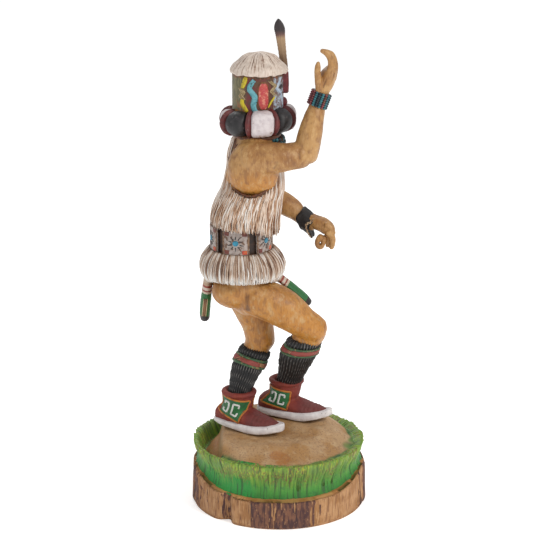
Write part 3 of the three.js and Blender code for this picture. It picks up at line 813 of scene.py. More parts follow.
@dataclass
class Skin:
    """The bare body: trunk, shoulders and arms in one piece, the hands in a second, hips and thighs in a third.
    """

    trunk: tuple[Row, ...] = (
        (-25.5, 0, 194, 16, 21), (-25, 0, 202, 17, 22), (-21, 0, 224, 18, 25), (-18, 0, 243, 18.4, 29),
        (-16, 0, 258, 15.5, 29.6), (-15.5, 0, 266, 13.5, 23.6), (-15, 0, 271, 12, 16),
        (-14.3, 0, 276, 11, 11),
    )
    hips: tuple[Row, ...] = (
        (-19, 0, 140, 9, 14), (-21, 0, 147, 16, 21), (-24, 0, 156, 21.6, 26), (-25, 0, 168, 21, 25.9),
        (-26, 0, 186, 18, 21.2),
    )
    shoulders: tuple[tuple[Row, Row], ...] = (((-17.2, -19.8, 246.5), (17.6, 13, 20)),
                                              ((-16, 21.7, 250), (15, 11, 16)))
    seat: tuple[tuple[Row, Row], ...] = (((-31, -12, 158.4), (15.6, 15, 12.4)),
                                         ((-31, 12, 158.4), (15.6, 15, 12.4)))
    finger: float = 1.92
    arms: dict[str, tuple[Row, ...]] = field(default_factory=lambda: {
        "right_upper": ((-18, -22, 253, 13, 12), (-6, -24, 254.6, 11.2, 11.5), (6, -23.5, 255.6, 9.5, 10.6),
                        (15, -22, 256.4, 9, 9.8)),
        "right_fore": ((18.6, -21, 256.4, 7.9, 9), (19.8, -20.5, 264, 8.6, 9.4), (21.8, -20, 274, 8, 9),
                       (24.3, -19, 284, 6.4, 7), (26.2, -18, 291, 5.3, 5.6), (27, -18, 295, 4.8, 5.2)),
        "left_upper": ((-17, 23, 252, 12, 10), (-15, 28, 238, 10.5, 9.5), (-11, 30, 221, 9, 9)),
        "left_fore": ((-10, 29.5, 218, 8, 8.6), (-1, 27.2, 213.6, 8.3, 8.4), (5, 25.2, 210.8, 8, 8.2),
                      (11, 22.8, 207.4, 7, 7.2), (15, 20.8, 204.2, 5.9, 6.2), (20, 18.4, 201, 5.4, 5.6),
                      (24, 16, 199, 5, 5.2)),
    })
    hands: dict[str, tuple[Row, ...]] = field(default_factory=lambda: {
        "right_palm": ((26.6, -18, 292, 4.6, 5), (28.8, -18, 298, 4.5, 5.6), (31, -17.6, 304.6, 5.6, 7.4),
                       (33.2, -17, 310, 5.6, 8.2), (34.8, -16.8, 313, 4.2, 8.2)),
        "right_thumb": ((28.2, -21.5, 301, 3.6, 3.2), (26.4, -23.4, 307, 2.7, 2.7),
                        (25.7, -24.2, 313, 2.2, 2.4),
                        (25.8, -24.2, 317, 2.0, 2.2), (26.1, -24, 319.4, 1.3, 1.6)),
        "left_palm": ((21, 18, 202.4, 4.8, 5.4), (26.6, 15, 200.4, 5, 6.4), (31.4, 13, 198.8, 5.2, 7.2),
                      (35, 11.4, 195.8, 4.8, 7.6), (36.2, 11, 192.6, 3.4, 7.4)),
        "left_loop": ((31.6, 6.6, 191.2, 2.4, 2.6), (31.2, 5.6, 187.8, 1.8, 2.2),
                      (29.9, 5.3, 185.4, 1.7, 2.1),
                      (28.0, 5.3, 185.3, 1.7, 2.0), (26.9, 5.6, 187.1, 1.7, 2.0),
                      (27.5, 6.2, 189.5, 1.9, 2.2), (29.6, 7.4, 191.6, 2.5, 2.8)),
        "left_knuckles": ((33.4, 6.5, 200.6, 2.4, 2.6), (36.4, 6.2, 198.6, 2.2, 2.4),
                          (37.8, 5.4, 195, 2.2, 2.4)),
        "left_middle": ((34.6, 8.0, 192, 1.9, 2.0), (34.6, 7.8, 187.4, 1.8, 2.0),
                        (34.0, 7.8, 185.2, 1.3, 1.7)),
    })
    legs: dict[str, tuple[Row, ...]] = field(default_factory=lambda: {
        "right_thigh": ((-18, -13, 155, 13.4, 15), (-5, -14, 150.4, 14, 15), (6, -15, 144.4, 13.4, 13.6),
                        (17, -14, 135.8, 11, 12), (26, -12, 130.2, 9.2, 10.6)),
        "right_knee": ((24.4, -11, 129, 9.6, 10), (18.6, -7, 119.5, 10, 9.4), (14.6, -3, 110, 9, 8.6)),
        "left_thigh": ((-22, 13, 150, 16, 15), (-18, 13.5, 137, 13.8, 13.8), (-15, 13.5, 126, 11.6, 12),
                       (-13, 13, 114, 10.6, 10.8)),
        "left_knee": ((-13.8, 13, 114, 9.8, 10.4), (-18, 11.6, 104, 9, 9.2), (-21, 10, 97, 8.4, 8.6)),
    })

    def fingers(self, carving: Carving) -> None:
        """Adds the four bent fingers of each hand."""
        thick = self.finger
        for k, (out, lean) in enumerate(((0.0, 0.0), (1.4, 0.8), (2.5, 1.6), (2.3, 2.8))):
            left = -22.9 + 4.25 * k
            carving.limb((
                (33.6 + out * 0.7, left, 309 - lean, 3.4, thick), (34.7 + out, left, 316 - lean, 2.5, thick),
                (34.3 + out, left, 321.4 - lean, 2.3, thick), (32.0 + out, left, 325.4 - lean, 2.1, thick),
                (28.7 + out * 0.8, left, 327.2 - lean, 1.5, 1.7),
            ), 14)
            left = 4.6 + 4.1 * k
            lean = 0.7 * k
            carving.limb((
                (35.2 - lean, left, 196, 3, thick), (37.4 - lean, left, 191.6, 2.5, thick),
                (37.6 - lean, left, 187.4, 2.2, thick), (36.9 - lean, left, 184.6, 1.7, 1.7),
            ), 14)

    def creased(self, carving: Carving, creases: Sequence[tuple[Vector, Vector, float, float]],
                shade_spots: Sequence[tuple[Vector, float, float]]) -> None:
        """Cuts shallow creases, ripples the skin as a knife leaves it, and marks painted shade along them and at
        spots.

        Args:
            carving: The fused skin.
            creases: Start, end, depth and half width, the last two in millimetres.
            shade_spots: Spots of painted shade and shadow: middle, radius in millimetres, and strength.
        """
        def near_line(point: Vector, start: Vector, end: Vector) -> float:
            """Distance to a stretch of line in millimetres."""
            along = end - start
            share = min(max((point - start).dot(along) / along.length_squared, 0.0), 1.0)
            return (point - start - along * share).length / MM

        def cut(point: Vector) -> float:
            """How far the surface moves at a point."""
            ripple = 0.35 * rough(point, 9.0, 3.1) + 0.14 * rough(point, 3.0, 7.3)
            return ripple - sum(
                depth * bell(near_line(point, start, end), width) for start, end, depth, width in creases
            )

        def painted_shade(point: Vector) -> float:
            """How dark the painted shade is at a point."""
            lines = sum(0.6 * bell(near_line(point, start, end), width) for start, end, _, width in creases)
            return min(1.0, lines + sum(
                strength * bell((point - middle).length / MM, radius) for middle, radius, strength in shade_spots
            ))

        carving.pushed(cut)
        carving.tinted(painted_shade)

    def build(self) -> None:
        """Makes the three pieces."""
        upper = Carving("upper_body")
        upper.column(self.trunk)
        for middle, radii in self.shoulders:
            upper.ball(middle, radii)
        for stations in self.arms.values():
            upper.limb(stations)
        upper.fused(0.62, 5)
        self.creased(upper, (
            (place(13, -31, 264), place(14, -31.5, 256), 1.0, 1.1),
            (place(-1.6, -34.6, 254), place(-2.4, -34.6, 246), 0.8, 1.3),
        ), (
            (place(-3.5, -34, 250), 1.6, 0.5),
            (place(17, -24, 248.5), 6.0, 0.4),
            (place(-8, 26, 214), 9.0, 0.6),
            (place(16, 18, 199), 6.0, 0.5),
        ))
        upper.finished(CarvedSkin("upper_skin"))
        hands = Carving("hands")
        for stations in self.hands.values():
            hands.limb(stations, 18, 5)
        self.fingers(hands)
        hands.fused(0.36, 3)
        knuckles = [
            (place(f, l - 2.4, u), place(f + 2.6, l + 1.2, u + 0.6), 0.28, 0.35)
            for l in (-24, -20) for f, u in ((32.4, 318.2), (33.4, 313.4))
        ]
        gaps = [(place(34.4, l, 306), place(36.4, l, 322), 0.4, 0.4) for l in (-20.8, -16.5, -12.3)]
        self.creased(hands, (
            *knuckles, *gaps,
            (place(28.4, -23.6, 316), place(30, -24.6, 313.6), 0.4, 0.7),
            (place(36.6, -24, 323), place(37, -23.4, 313), 0.5, 0.5),
            (place(37, -23.4, 313), place(33.6, -24.6, 302), 0.45, 0.6),
            (place(29.6, -24.2, 303), place(31.6, -25, 308.6), 0.3, 0.7),
            (place(25.2, -26, 316.4), place(26.4, -25, 316.8), 0.2, 0.5),
            (place(28.8, 5, 188), place(29.2, 5, 187), 0.3, 1.0),
            (place(34, 5, 193), place(31.4, 5, 193.4), 0.4, 0.6),
            (place(36.8, 3, 190.6), place(39.4, 3, 191.2), 0.25, 0.4),
            (place(37.6, 3, 186.6), place(39.8, 3, 187), 0.2, 0.4),
        ), (
            (place(38.8, -14, 317), 2.6, 0.7),
            (place(32, -22, 305), 2.4, 0.35),
            (place(27, -24, 304), 1.6, 0.4),
            (place(29.6, 8, 190), 3.2, 0.55),
            (place(35.4, 8, 184.6), 2.0, 0.4),
        ))
        hands.finished(CarvedSkin("hand_skin"))
        lower = Carving("lower_body")
        lower.column(self.hips)
        for middle, radii in self.seat:
            lower.ball(middle, radii)
        for stations in self.legs.values():
            lower.limb(stations)
        lower.fused(0.8, 5)
        self.creased(lower, (
            (place(-30, 0, 168), place(-44, 0, 150), 2.2, 1.6),
            (place(-22, -27, 160), place(-21, -24, 148), 0.5, 2.5),
        ), (
            (place(-21, -25, 149), 4.0, 0.22),
            (place(14, -27, 138), 5.0, 0.2),
            # Painted shadow of the near thigh on the far leg, on this line and the next.
            (place(-13, 2, 126), 9.0, 0.4),
            (place(-10, 3, 140), 9.0, 0.45),
            (place(27, -22, 128), 3.0, 0.25),
        ))
        lower.finished(CarvedSkin("lower_skin", gold_low=134.0, gold_high=190.0, gold_left=60.0))


@dataclass
class Drape:
    """A surface of elliptical rows, of forward, up, deep and wide, that strands are laid on."""

    rows: tuple[Row, ...]

    def at(self, angle: float, share: float, out: float = 0.0) -> Vector:
        """A point at an angle and a share of the way down, lifted by out millimetres."""
        forward, up, deep, wide = spline(self.rows, share)
        return place(forward + (deep + out) * cos(angle), (wide + out) * sin(angle), up)

    def facing(self, angle: float, share: float) -> Vector:
        """The way out of the surface."""
        step = 0.01
        down = self.at(angle, min(share + step, 1.0)) - self.at(angle, max(share - step, 0.0))
        side = self.at(angle + step, share) - self.at(angle - step, share)
        return side.cross(-down).normalized()


STRAND_PAINT = Stripes(
    "strand_paint",
    ((0.0, (84, 50, 30)), (0.25, (158, 108, 74)), (0.45, (206, 168, 136)),
     (0.7, (240, 222, 206)), (1.0, (255, 252, 248))),
    jitter=0.34, size=1.8, gloss=0.62, relief=0.22, dirt=0.35,
)
HIP_PAINT = Stripes(
    "hip_paint",
    ((0.0, (84, 54, 36)), (0.25, (150, 112, 88)), (0.5, (206, 178, 154)),
     (0.75, (238, 222, 208)), (1.0, (252, 250, 246))),
    jitter=0.16, size=1.2, gloss=0.62, relief=0.22, dirt=0.25,
)


@dataclass
class Shirt:
    """The fringed shirt: a dark ground, three lays of wavy strands, and the armholes' edges."""

    drape: Drape = field(default_factory=lambda: Drape((
        (-15.5, 268, 12, 13), (-15.5, 262, 16.5, 21), (-16.2, 252, 18.2, 27), (-16.3, 245, 18.4, 28.5),
        (-17.3, 231, 20.7, 30), (-19.6, 224.6, 21.4, 31), (-21.4, 218, 22.7, 31.6), (-22.8, 211.5, 23.2, 32),
        (-23.2, 205.5, 23.2, 32),
    )))
    holes: tuple[tuple[Row, Row], ...] = (((-19.4, -36, 249), (20, 36, 19.5)), ((-15, 36, 250), (14, 20, 19)))
    collar: Row = (-15, 15.6, 20.4, 267.4)
    strands: int = 170
    rings: int = 12

    def in_hole(self, point: Vector, spare: float = 0.0) -> bool:
        """True where an armhole opens the shirt."""
        x, y, z = point / MM
        return any(
            dist((0, 0, 0), ((-y - f) / (deep + spare), (x - l) / (wide + spare),
                             (z - u) / (high + spare))) < 1
            for (f, l, u), (deep, wide, high) in self.holes
        )

    def start(self, angle: float, spare: float = 0.0) -> float:
        """The share at which a strand starts, below the armhole where there is one."""
        share = 0.0
        for k in range(61):
            if self.in_hole(self.drape.at(angle, k / 60), spare):
                share = (k + 1) / 60
        return share

    def strand(self, draw: random.Random, angle: float, out: float, width: float, top: float) -> Strand:
        """One wavy strand from near the top to the ragged hem."""
        sway, waves, phase = draw.uniform(0.2, 0.7), draw.uniform(2.0, 5.0), draw.uniform(0, TURN)
        drift = draw.gauss(0, 0.9)
        end = 1.0 + draw.gauss(0.0, 0.014) + 0.085 * smooth(cos(angle), 0.1, 0.9)
        points, outs = [], []
        for k in range(self.rings):
            t = k / (self.rings - 1)
            share = blend(top, end, t)
            shift = (sway * sin(phase + waves * TURN * t * (end - top)) + drift * t) / 30
            lift = out + 0.3 * sin(phase * 2 + 9 * t)
            inside = min(share, 1.0)
            spot = self.drape.at(angle + shift, inside, lift)
            spot.z -= max(share - 1.0, 0.0) * 70 * MM
            points.append(spot)
            outs.append(self.drape.facing(angle + shift, inside))
        return Strand(points, outs, width, width * draw.uniform(0.6, 0.9), draw.uniform(0.12, 0.75))

    def edge(self, hole: int) -> list[Vector]:
        """The closed line where an armhole cuts the shirt."""
        (forward, left, up), (deep, _, high) = self.holes[hole]
        side = copysign(1, left)
        line = []
        for k in range(97):
            turn = TURN * k / 96
            low, far = 0.3, 1.6
            for _ in range(18):
                reach = (low + far) / 2
                f = forward + deep * reach * cos(turn)
                u = up + high * reach * sin(turn)
                spot = self.on_side(f, u, side)
                low, far = (reach, far) if self.in_hole(spot) else (low, reach)
            line.append(spot)
        return line

    def on_side(self, forward: float, up: float, side: float) -> Vector:
        """The point of the shirt's surface at a forward and up place on one side."""
        middle, _, deep, wide = by_height(self.drape.rows, up, 1)
        across = max(0.0, 1 - ((forward - middle) / deep) ** 2) ** 0.5
        return place(forward, side * wide * across, up)

    def build(self) -> None:
        """Makes the ground, the strands and the armholes' edges."""
        ground = Carving("shirt_ground")
        rows = 44

        def shape(angle: float, radius: float, up: float) -> Vector:
            """A point of the grooved ground."""
            share = up / rows
            groove = 0.35 * sin(angle * 110 + 2 * rough(Vector((angle, share * 3, 0)), 400))
            return self.drape.at(angle, share, radius - 1.6 + groove)

        ground.lathe([(1.0, k) for k in range(rows + 1)], 260, shape)
        inside = [face for face in ground.bm.faces if self.in_hole(face.calc_center_median())]
        bmesh.ops.delete(ground.bm, geom=inside, context="FACES")
        ground.turned_out()
        bmesh.ops.solidify(ground.bm, geom=ground.bm.faces, thickness=1.4 * MM)
        ground.tinted(lambda spot: 0.12 + 0.1 * rough(spot, 3))
        ground.finished(STRAND_PAINT)
        draw = random.Random(11)
        fringe = Carving("shirt_fringe")
        lays = ((0.0, 0.7, self.strands), (0.45, 0.6, self.strands), (0.85, 0.5, self.strands * 2 // 3))
        for lay, (out, width, count) in enumerate(lays):
            strands = []
            for k in range(count):
                angle = TURN * (k + 0.5 * lay + draw.uniform(-0.35, 0.35)) / count
                top = self.start(angle, 0.6) + draw.uniform(0.0, 0.02)
                if lay == 2:
                    top += draw.uniform(0.0, 0.35) * (1 - top)
                strands.append(self.strand(draw, angle, out, width * draw.uniform(0.75, 1.25), top))
            lay_strands(fringe, strands)
        fringe.finished(STRAND_PAINT)
        piping = Carving("armhole_edges")
        for hole in range(len(self.holes)):
            line = self.edge(hole)
            middle = place(-18, 0, 249)
            outs = [(spot - middle).normalized() for spot in line]
            ribbon(piping, line, outs, 0.62, 0.7, 8, 0.0)
        turns = [TURN * k / 96 for k in range(97)]
        forward, deep, wide, up = self.collar
        collar = [place(forward + deep * cos(a), wide * sin(a), up - 0.06 * cos(a)) for a in turns]
        ribbon(piping, collar, [Vector((sin(a), -cos(a), 0.6)).normalized() for a in turns], 1.7, 0.9, 8, 0.0)
        piping.finished(Paint("edge_brown", (116, 62, 28), (78, 44, 22), (190, 150, 62), 0.3, 2.0))


@dataclass
class HipFringe:
    """The round of strands that flares out under the belt and rolls down at its hem."""

    drape: Drape = field(default_factory=lambda: Drape((
        (-26, 187, 22.3, 26.3), (-25.6, 182.2, 26.6, 31), (-25.3, 176.2, 29, 33.8), (-25.3, 171, 28.8, 33.6),
        (-25.3, 167.5, 27.2, 32.2), (-25.3, 164, 25, 30),
    )))
    strands: int = 150
    rings: int = 12

    def hem(self, angle: float) -> float:
        """The share at which the strands end, lower in front and behind than on the sides."""
        return blend(0.97, 0.76, smooth(abs(sin(angle)), 0.2, 0.9))

    def build(self) -> None:
        """Makes the ground and the strands."""
        ground = Carving("hip_ground")
        rows = 24

        def shape(angle: float, radius: float, up: float) -> Vector:
            """A point of the grooved ground."""
            share = up / rows * self.hem(angle)
            groove = 0.35 * sin(angle * self.strands) * (radius > 0)
            return self.drape.at(angle, share, radius - 2.0 + groove)

        profile = [(31.0, k) for k in range(rows + 1)] + [(22.0, rows), (19.0, 0)]
        ground.lathe(profile, 240, lambda angle, radius, up: shape(angle, radius - 30, up), closed=True)
        ground.tinted(lambda spot: 0.08 + 0.08 * rough(spot, 3))
        ground.finished(HIP_PAINT)
        draw = random.Random(23)
        fringe = Carving("hip_fringe")
        for lay, (out, width, count) in enumerate(((-0.2, 0.62, self.strands), (0.4, 0.42, self.strands),
                                                   (0.75, 0.36, self.strands // 2))):
            strands = []
            for k in range(count):
                angle = TURN * (k + 0.5 * lay + draw.uniform(-0.18, 0.18)) / count
                sway, phase, drift = draw.uniform(0.05, 0.3), draw.uniform(0, TURN), draw.gauss(0, 0.4)
                end = self.hem(angle) + draw.gauss(0.0, 0.012)
                end -= draw.uniform(0.05, 0.3) if lay == 2 else 0.0
                top = draw.uniform(0.0, 0.3) if lay == 2 else 0.0
                points, outs = [], []
                for step in range(self.rings):
                    t = step / (self.rings - 1)
                    shift = (sway * sin(phase + TURN * 1.4 * t) + drift * t) / 33
                    lift = out * smooth(t, 0.0, 0.3) + 0.15 * sin(phase + 7 * t)
                    points.append(self.drape.at(angle + shift, blend(top, end, t), lift))
                    outs.append(self.drape.facing(angle + shift, blend(top, end, t)))
                size = width * draw.uniform(0.85, 1.15)
                strands.append(Strand(points, outs, size, size * 1.2, draw.uniform(0.05, 0.9), 0.3, 0.4))
            lay_strands(fringe, strands)
        for vertex in fringe.bm.verts:
            vertex[fringe.mark] += 0.45 * smooth(vertex.co.z / MM, 176, 169) - 0.1
        fringe.finished(HIP_PAINT)


@dataclass
class Belt:
    """The belt: six silvery panels with a turquoise star each, over a dark band with slots."""

    middle: Row = (-26, 0, 195.4)
    deep: float = 20.6
    wide: float = 24.6
    half_height: float = 8.9
    band_height: float = 17.6
    band_below: float = 1.1
    panels: int = 6
    near_at: float = -99.6
    near_pitch: float = 66.0
    slot: float = 13.5

    def panel(self, index: int) -> tuple[float, float]:
        """A panel's middle as an angle, and half of its width in millimetres."""
        pitch = (360 - self.near_pitch) / (self.panels - 1)
        degrees, full = self.near_at, self.near_pitch
        if index:
            degrees, full = self.near_at + self.near_pitch / 2 + pitch * (index - 0.5), pitch
        turn = radians(degrees)
        speed = hypot(self.deep * sin(turn), self.wide * cos(turn))
        return turn, speed * radians(full - self.slot) / 2

    def wrapped(self, turn: float, x: float, y: float, out: float) -> Vector:
        """Bends a flat point of a panel, in millimetres, round the waist."""
        deep, wide = self.deep, self.wide
        speed = hypot(deep * sin(turn), wide * cos(turn))
        angle = turn + x / speed
        forward, left, up = self.middle
        return place(forward + (deep + out) * cos(angle), left + (wide + out) * sin(angle), up + y)

    def build(self) -> None:
        """Makes the band, the panels and the figures on them."""
        forward, left, up = self.middle
        band = Carving("belt_band")
        deep, wide = self.deep - self.band_below, self.wide - self.band_below
        levels = [up + (0.5 - k / 4) * self.band_height for k in range(5)]
        band.column([(forward, left, level, deep, wide) for level in levels], 96)
        band.finished(Paint("belt_dark", (62, 36, 20), (36, 22, 15), (120, 76, 40), 0.25, 3))
        plates, blue, rays, corners, borders, bright = (Carving("belt_" + name) for name in (
            "panels", "turquoise", "rays", "corners", "borders", "bright_corners"))
        for k in range(self.panels):
            turn, half = self.panel(k)
            high = self.half_height
            self.flat(plates, turn, 0, 0, half, high, 0.0, 1.1, 14)
            for side in (-1, 1):
                self.flat(borders, turn, 0, side * (high - 0.5), half - 0.3, 0.35, 1.0, 0.3, 14)
                self.flat(borders, turn, side * (half - 0.9), 0, 0.7, high - 0.8, 1.0, 0.35, 2)
                for rise in (-1, 1):
                    block = bright if rise < 0 < side else corners
                    self.flat(block, turn, side * (half - 3.4), rise * (high - 2.5), 1.7, 1.45, 1.0, 0.4, 3)
            self.round(blue, turn, 2.3, 1.2, 8)
            for ray in range(10):
                self.ray(rays, turn, TURN * (ray + 0.5) / 10, 2.9, 5.6 if ray % 2 else 5.0)
        finishes = (
            (plates, Paint("belt_silver", (186, 172, 164), (158, 142, 134), (112, 82, 62), 0.5, 2.6, 0.5)),
            (blue, Paint("turquoise", (46, 150, 182), (34, 124, 150), (30, 80, 90), 0.12, 2.0, 0.35)),
            (rays, Paint("ray_dark", (50, 66, 66), (64, 44, 40), (120, 110, 104), 0.1, 2.0)),
            (corners, Paint("corner_red", (104, 44, 40), (128, 66, 48), (160, 120, 96), 0.3, 2.4)),
            (bright, Paint("corner_bright", (196, 52, 48), (206, 104, 50), (190, 150, 120), 0.2, 2.4)),
            (borders, Paint("border_tan", (150, 116, 84), (96, 62, 44), (190, 170, 150), 0.35, 2.0)),
        )
        for carving, finish in finishes:
            carving.finished(finish, shade_smooth=False)

    def flat(self, carving: Carving, turn: float, x: float, y: float, half: float, high: float, out: float,
             thick: float, cuts: int) -> None:
        """Adds a flat tile with softened edges and bends it round the waist."""
        soft = min(0.25, half * 0.3, high * 0.3)
        tile(carving, cuts, 3, 1.0, lambda flat_x, flat_y, top: self.wrapped(
            turn, x + flat_x * (half - soft * top), y + flat_y * (high - soft * top), out + thick * top))

    def round(self, carving: Carving, turn: float, radius: float, out: float, sides: int) -> None:
        """Adds the star's stone, a low faceted stud."""
        frame = Matrix.Translation((0, 0, out)) @ Matrix.Rotation(pi / sides, 4, "Z")
        made = bmesh.ops.create_cone(carving.bm, cap_ends=True, segments=sides, radius1=radius,
                                     radius2=radius * 0.75, depth=1.0, matrix=frame)["verts"]
        for vertex in made:
            x, y, z = vertex.co
            vertex.co = self.wrapped(turn, x, y, z)

    def ray(self, carving: Carving, turn: float, aim: float, start: float, end: float) -> None:
        """Adds one thin ray of the star."""
        made = bmesh.ops.create_cube(carving.bm, size=1.0)["verts"]
        for vertex in made:
            reach = blend(start, end, vertex.co.x + 0.5)
            side = vertex.co.y * blend(0.85, 0.3, vertex.co.x + 0.5)
            x = reach * cos(aim) - side * sin(aim)
            y = reach * sin(aim) + side * cos(aim)
            vertex.co = self.wrapped(turn, x, y, 1.15 + vertex.co.z * 0.5)


@dataclass
class Head:
    """The cylinder mask with its raised figures, the nose, mouth and eyes, and the cap of hair."""

    forward: float = -14.3
    radius: float = 17.5
    bottom: float = 276.0
    top: float = 313.0
    cap_rim: float = 311.6
    cap_radius: float = 19.8
    cap_height: float = 11.3
    grooves: int = 210

    def on_mask(self, degrees: float, up: float, out: float = 0.0) -> Vector:
        """A point of the mask, at an angle from the right side towards the front."""
        angle = NEAR + radians(degrees)
        reach = self.radius + out
        return place(self.forward + reach * cos(angle), reach * sin(angle), up)

    def line(self, carving: Carving, knots: Sequence[Row], width: float, thick: float = 0.5, fine: int = 6,
             curved: bool = False) -> None:
        """Lays a raised painted line through (degrees, height) knots, on the near side and the far one."""
        count = (len(knots) - 1) * fine
        flat = []
        for k in range(count + 1):
            if curved:
                flat.append(spline(knots, k / count))
            else:
                low = min(k // fine, len(knots) - 2)
                share = (k - low * fine) / fine
                flat.append([blend(a, b, share) for a, b in zip(knots[low], knots[low + 1])])
        for mirror in (False, True):
            points = [self.on_mask(180 - x if mirror else x, up) for x, up in flat]
            axis = place(self.forward, 0, 0)
            outs = [(Vector((p.x, p.y, 0)) - Vector((axis.x, axis.y, 0))).normalized() for p in points]
            ribbon(carving, points, outs, width, thick, 8, 0.35)

    def oval(self, carving: Carving, degrees: float, up: float, wide: float, high: float,
             thick: float) -> None:
        """Adds a raised oval on both sides of the mask."""
        for way in (degrees, 180 - degrees):
            made = bmesh.ops.create_uvsphere(carving.bm, u_segments=28, v_segments=12, radius=1.0)["verts"]
            for vertex in made:
                x, y, z = vertex.co
                fuller = 1 + 0.16 * abs(x * y) * 2
                turn = to_degrees(x * fuller * wide / self.radius)
                vertex.co = self.on_mask(way + turn, up + y * fuller * high, z * thick)

    def build(self) -> None:
        """Makes every piece of the head."""
        mask = Carving("mask")
        profile = [(0.0, self.bottom)] + [
            (self.radius - (0.5 if k in (0, 40) else 0.0), blend(self.bottom, self.top, k / 40))
            for k in range(41)
        ] + [(0.0, self.top)]

        def shape(angle: float, radius: float, up: float) -> Vector:
            """A point of the mask, a little uneven as a knife leaves it."""
            spot = place(self.forward + radius * cos(angle), radius * sin(angle), up)
            wobble = 1 + (0.004 * rough(spot, 5) + 0.003 * rough(spot, 1.6) if radius > 1 else 0)
            return place(self.forward + radius * wobble * cos(angle), radius * wobble * sin(angle), up)

        mask.lathe(profile, 160, shape)
        mask.finished(MaskGround())
        self.figures()
        self.face()
        self.hair()

    def figures(self) -> None:
        """Makes the coloured figures of the mask's sides."""
        yellow, blue, tan = Carving("mask_yellow"), Carving("mask_turquoise"), Carving("mask_lines")
        pale = Carving("mask_pale_bands")
        self.line(yellow, ((-26.2, 308.4), (-30.5, 304.8), (-37, 300.4)), 1.75)
        self.line(yellow, ((-36, 293.4), (-37.5, 290.4), (-23.4, 284.8)), 1.75)
        self.line(yellow, ((41.2, 294.6), (32.4, 291.8), (24.4, 287.7)), 0.8)
        self.line(blue, ((-7.3, 306.6), (-17.6, 302), (-16.5, 299.4), (-7.6, 296), (-6.3, 293.5),
                         (-9.3, 289.8), (-6.3, 286.1), (0.7, 284.4)), 2.1, 0.6, 8, True)
        for shift in (0, 4.6, 9.2):
            self.line(tan, ((-46.5 + shift, 300.6), (-38.2 + shift, 297.8), (-45 + shift, 295.1),
                            (-38.2 + shift, 292.9)), 0.55)
        for shift in (0, 5.5):
            self.line(tan, ((24.4 + shift, 305.6), (41 + shift, 301.9), (28.9 + shift, 298.7),
                            (41 + shift, 295.1)), 0.55)
        for knots in (((64.7, 307.2), (46.7, 300.2), (64.7, 296.4)), ((64.7, 296.4), (77.2, 285))):
            self.line(pale, knots, 1.3, 0.3)
        finishes = (
            (yellow, Paint("mask_yellow", (222, 200, 30), (188, 168, 36), (96, 78, 34), 0.3, 2)),
            (blue, Paint("mask_blue", (116, 182, 192), (78, 152, 160), (66, 92, 96), 0.4, 2)),
            (tan, Paint("mask_tan", (192, 170, 128), (152, 128, 88), (80, 62, 42), 0.35, 2)),
            (pale, Paint("mask_pale", (198, 212, 226), (168, 186, 206), (110, 100, 110), 0.3, 3)),
        )
        for carving, finish in finishes:
            carving.finished(finish)
        rim = Carving("mask_oval_rims")
        self.oval(rim, 13, 295.5, 4.1, 9.7, 0.75)
        rim.finished(Paint("oval_brown", (122, 74, 30), (92, 52, 26), (170, 120, 60), 0.2, 3))
        oval = Carving("mask_ovals")
        self.oval(oval, 13, 295.5, 3.45, 8.8, 1.35)
        oval.finished(Paint("oval_red", (190, 60, 68), (200, 84, 72), (222, 140, 118), 0.5, 2.0))

    def face(self) -> None:
        """Makes the nose, mouth and eyes on the front."""
        nose = Carving("nose")
        frames = []
        for up, deep, wide in ((295.4, 3.4, 3.2), (296.2, 4.0, 3.6), (302, 4.1, 3.5), (309, 3.8, 3.4),
                               (310, 3.4, 3.1)):
            size = Matrix.Diagonal((wide * MM, deep * MM, 1.0, 1.0))
            frames.append(Matrix.Translation(place(2.8, 0, up)) @ size)
        nose.loft(frames, 24, 0.42)
        mouth = Carving("mouth")
        mouth.limb(((-2, 0, 288.8, 4.0, 4.2), (1, 0, 288.8, 4.0, 4.2), (3.2, 0, 288.8, 3.5, 3.6)), 24)
        red = Paint("face_red", (128, 38, 44), (104, 30, 36), (170, 96, 84), 0.25, 3, 0.5)
        for carving in (nose, mouth):
            carving.roughened((0.18, 3))
            carving.finished(red)
        eyes = Carving("eyes")
        for side in (-1, 1):
            made = bmesh.ops.create_uvsphere(eyes.bm, u_segments=20, v_segments=10, radius=1.0)["verts"]
            for vertex in made:
                x, y, z = vertex.co
                turn = to_degrees(x * 2.3 / self.radius)
                vertex.co = self.on_mask(90 + side * 26 + turn, 300.7 + y * 1.6, z * 0.7)
        eyes.finished(Paint("eye_black", (30, 26, 28), (44, 38, 38), (120, 110, 104), 0.1, 3, 0.35))

    def hair(self) -> None:
        """Makes the cap of hair with its combed grooves and ragged rim."""
        draw = random.Random(5)
        grooves = [
            (TURN * (k + draw.uniform(-0.45, 0.45)) / self.grooves, draw.uniform(0.05, 0.75),
             draw.uniform(0.4, 1.15), draw.uniform(-0.1, 0.1), 0.15 + 0.85 * draw.random() ** 2)
            for k in range(self.grooves)
        ]
        dome = ((0.0, 1.0), (0.2, 0.985), (0.38, 0.93), (0.52, 0.83), (0.65, 0.66), (0.76, 0.49),
                (0.86, 0.33), (0.94, 0.18), (1.0, 0.0), (1.01, -0.1), (0.985, -0.19))
        cap = Carving("hair_cap")
        rings = 46

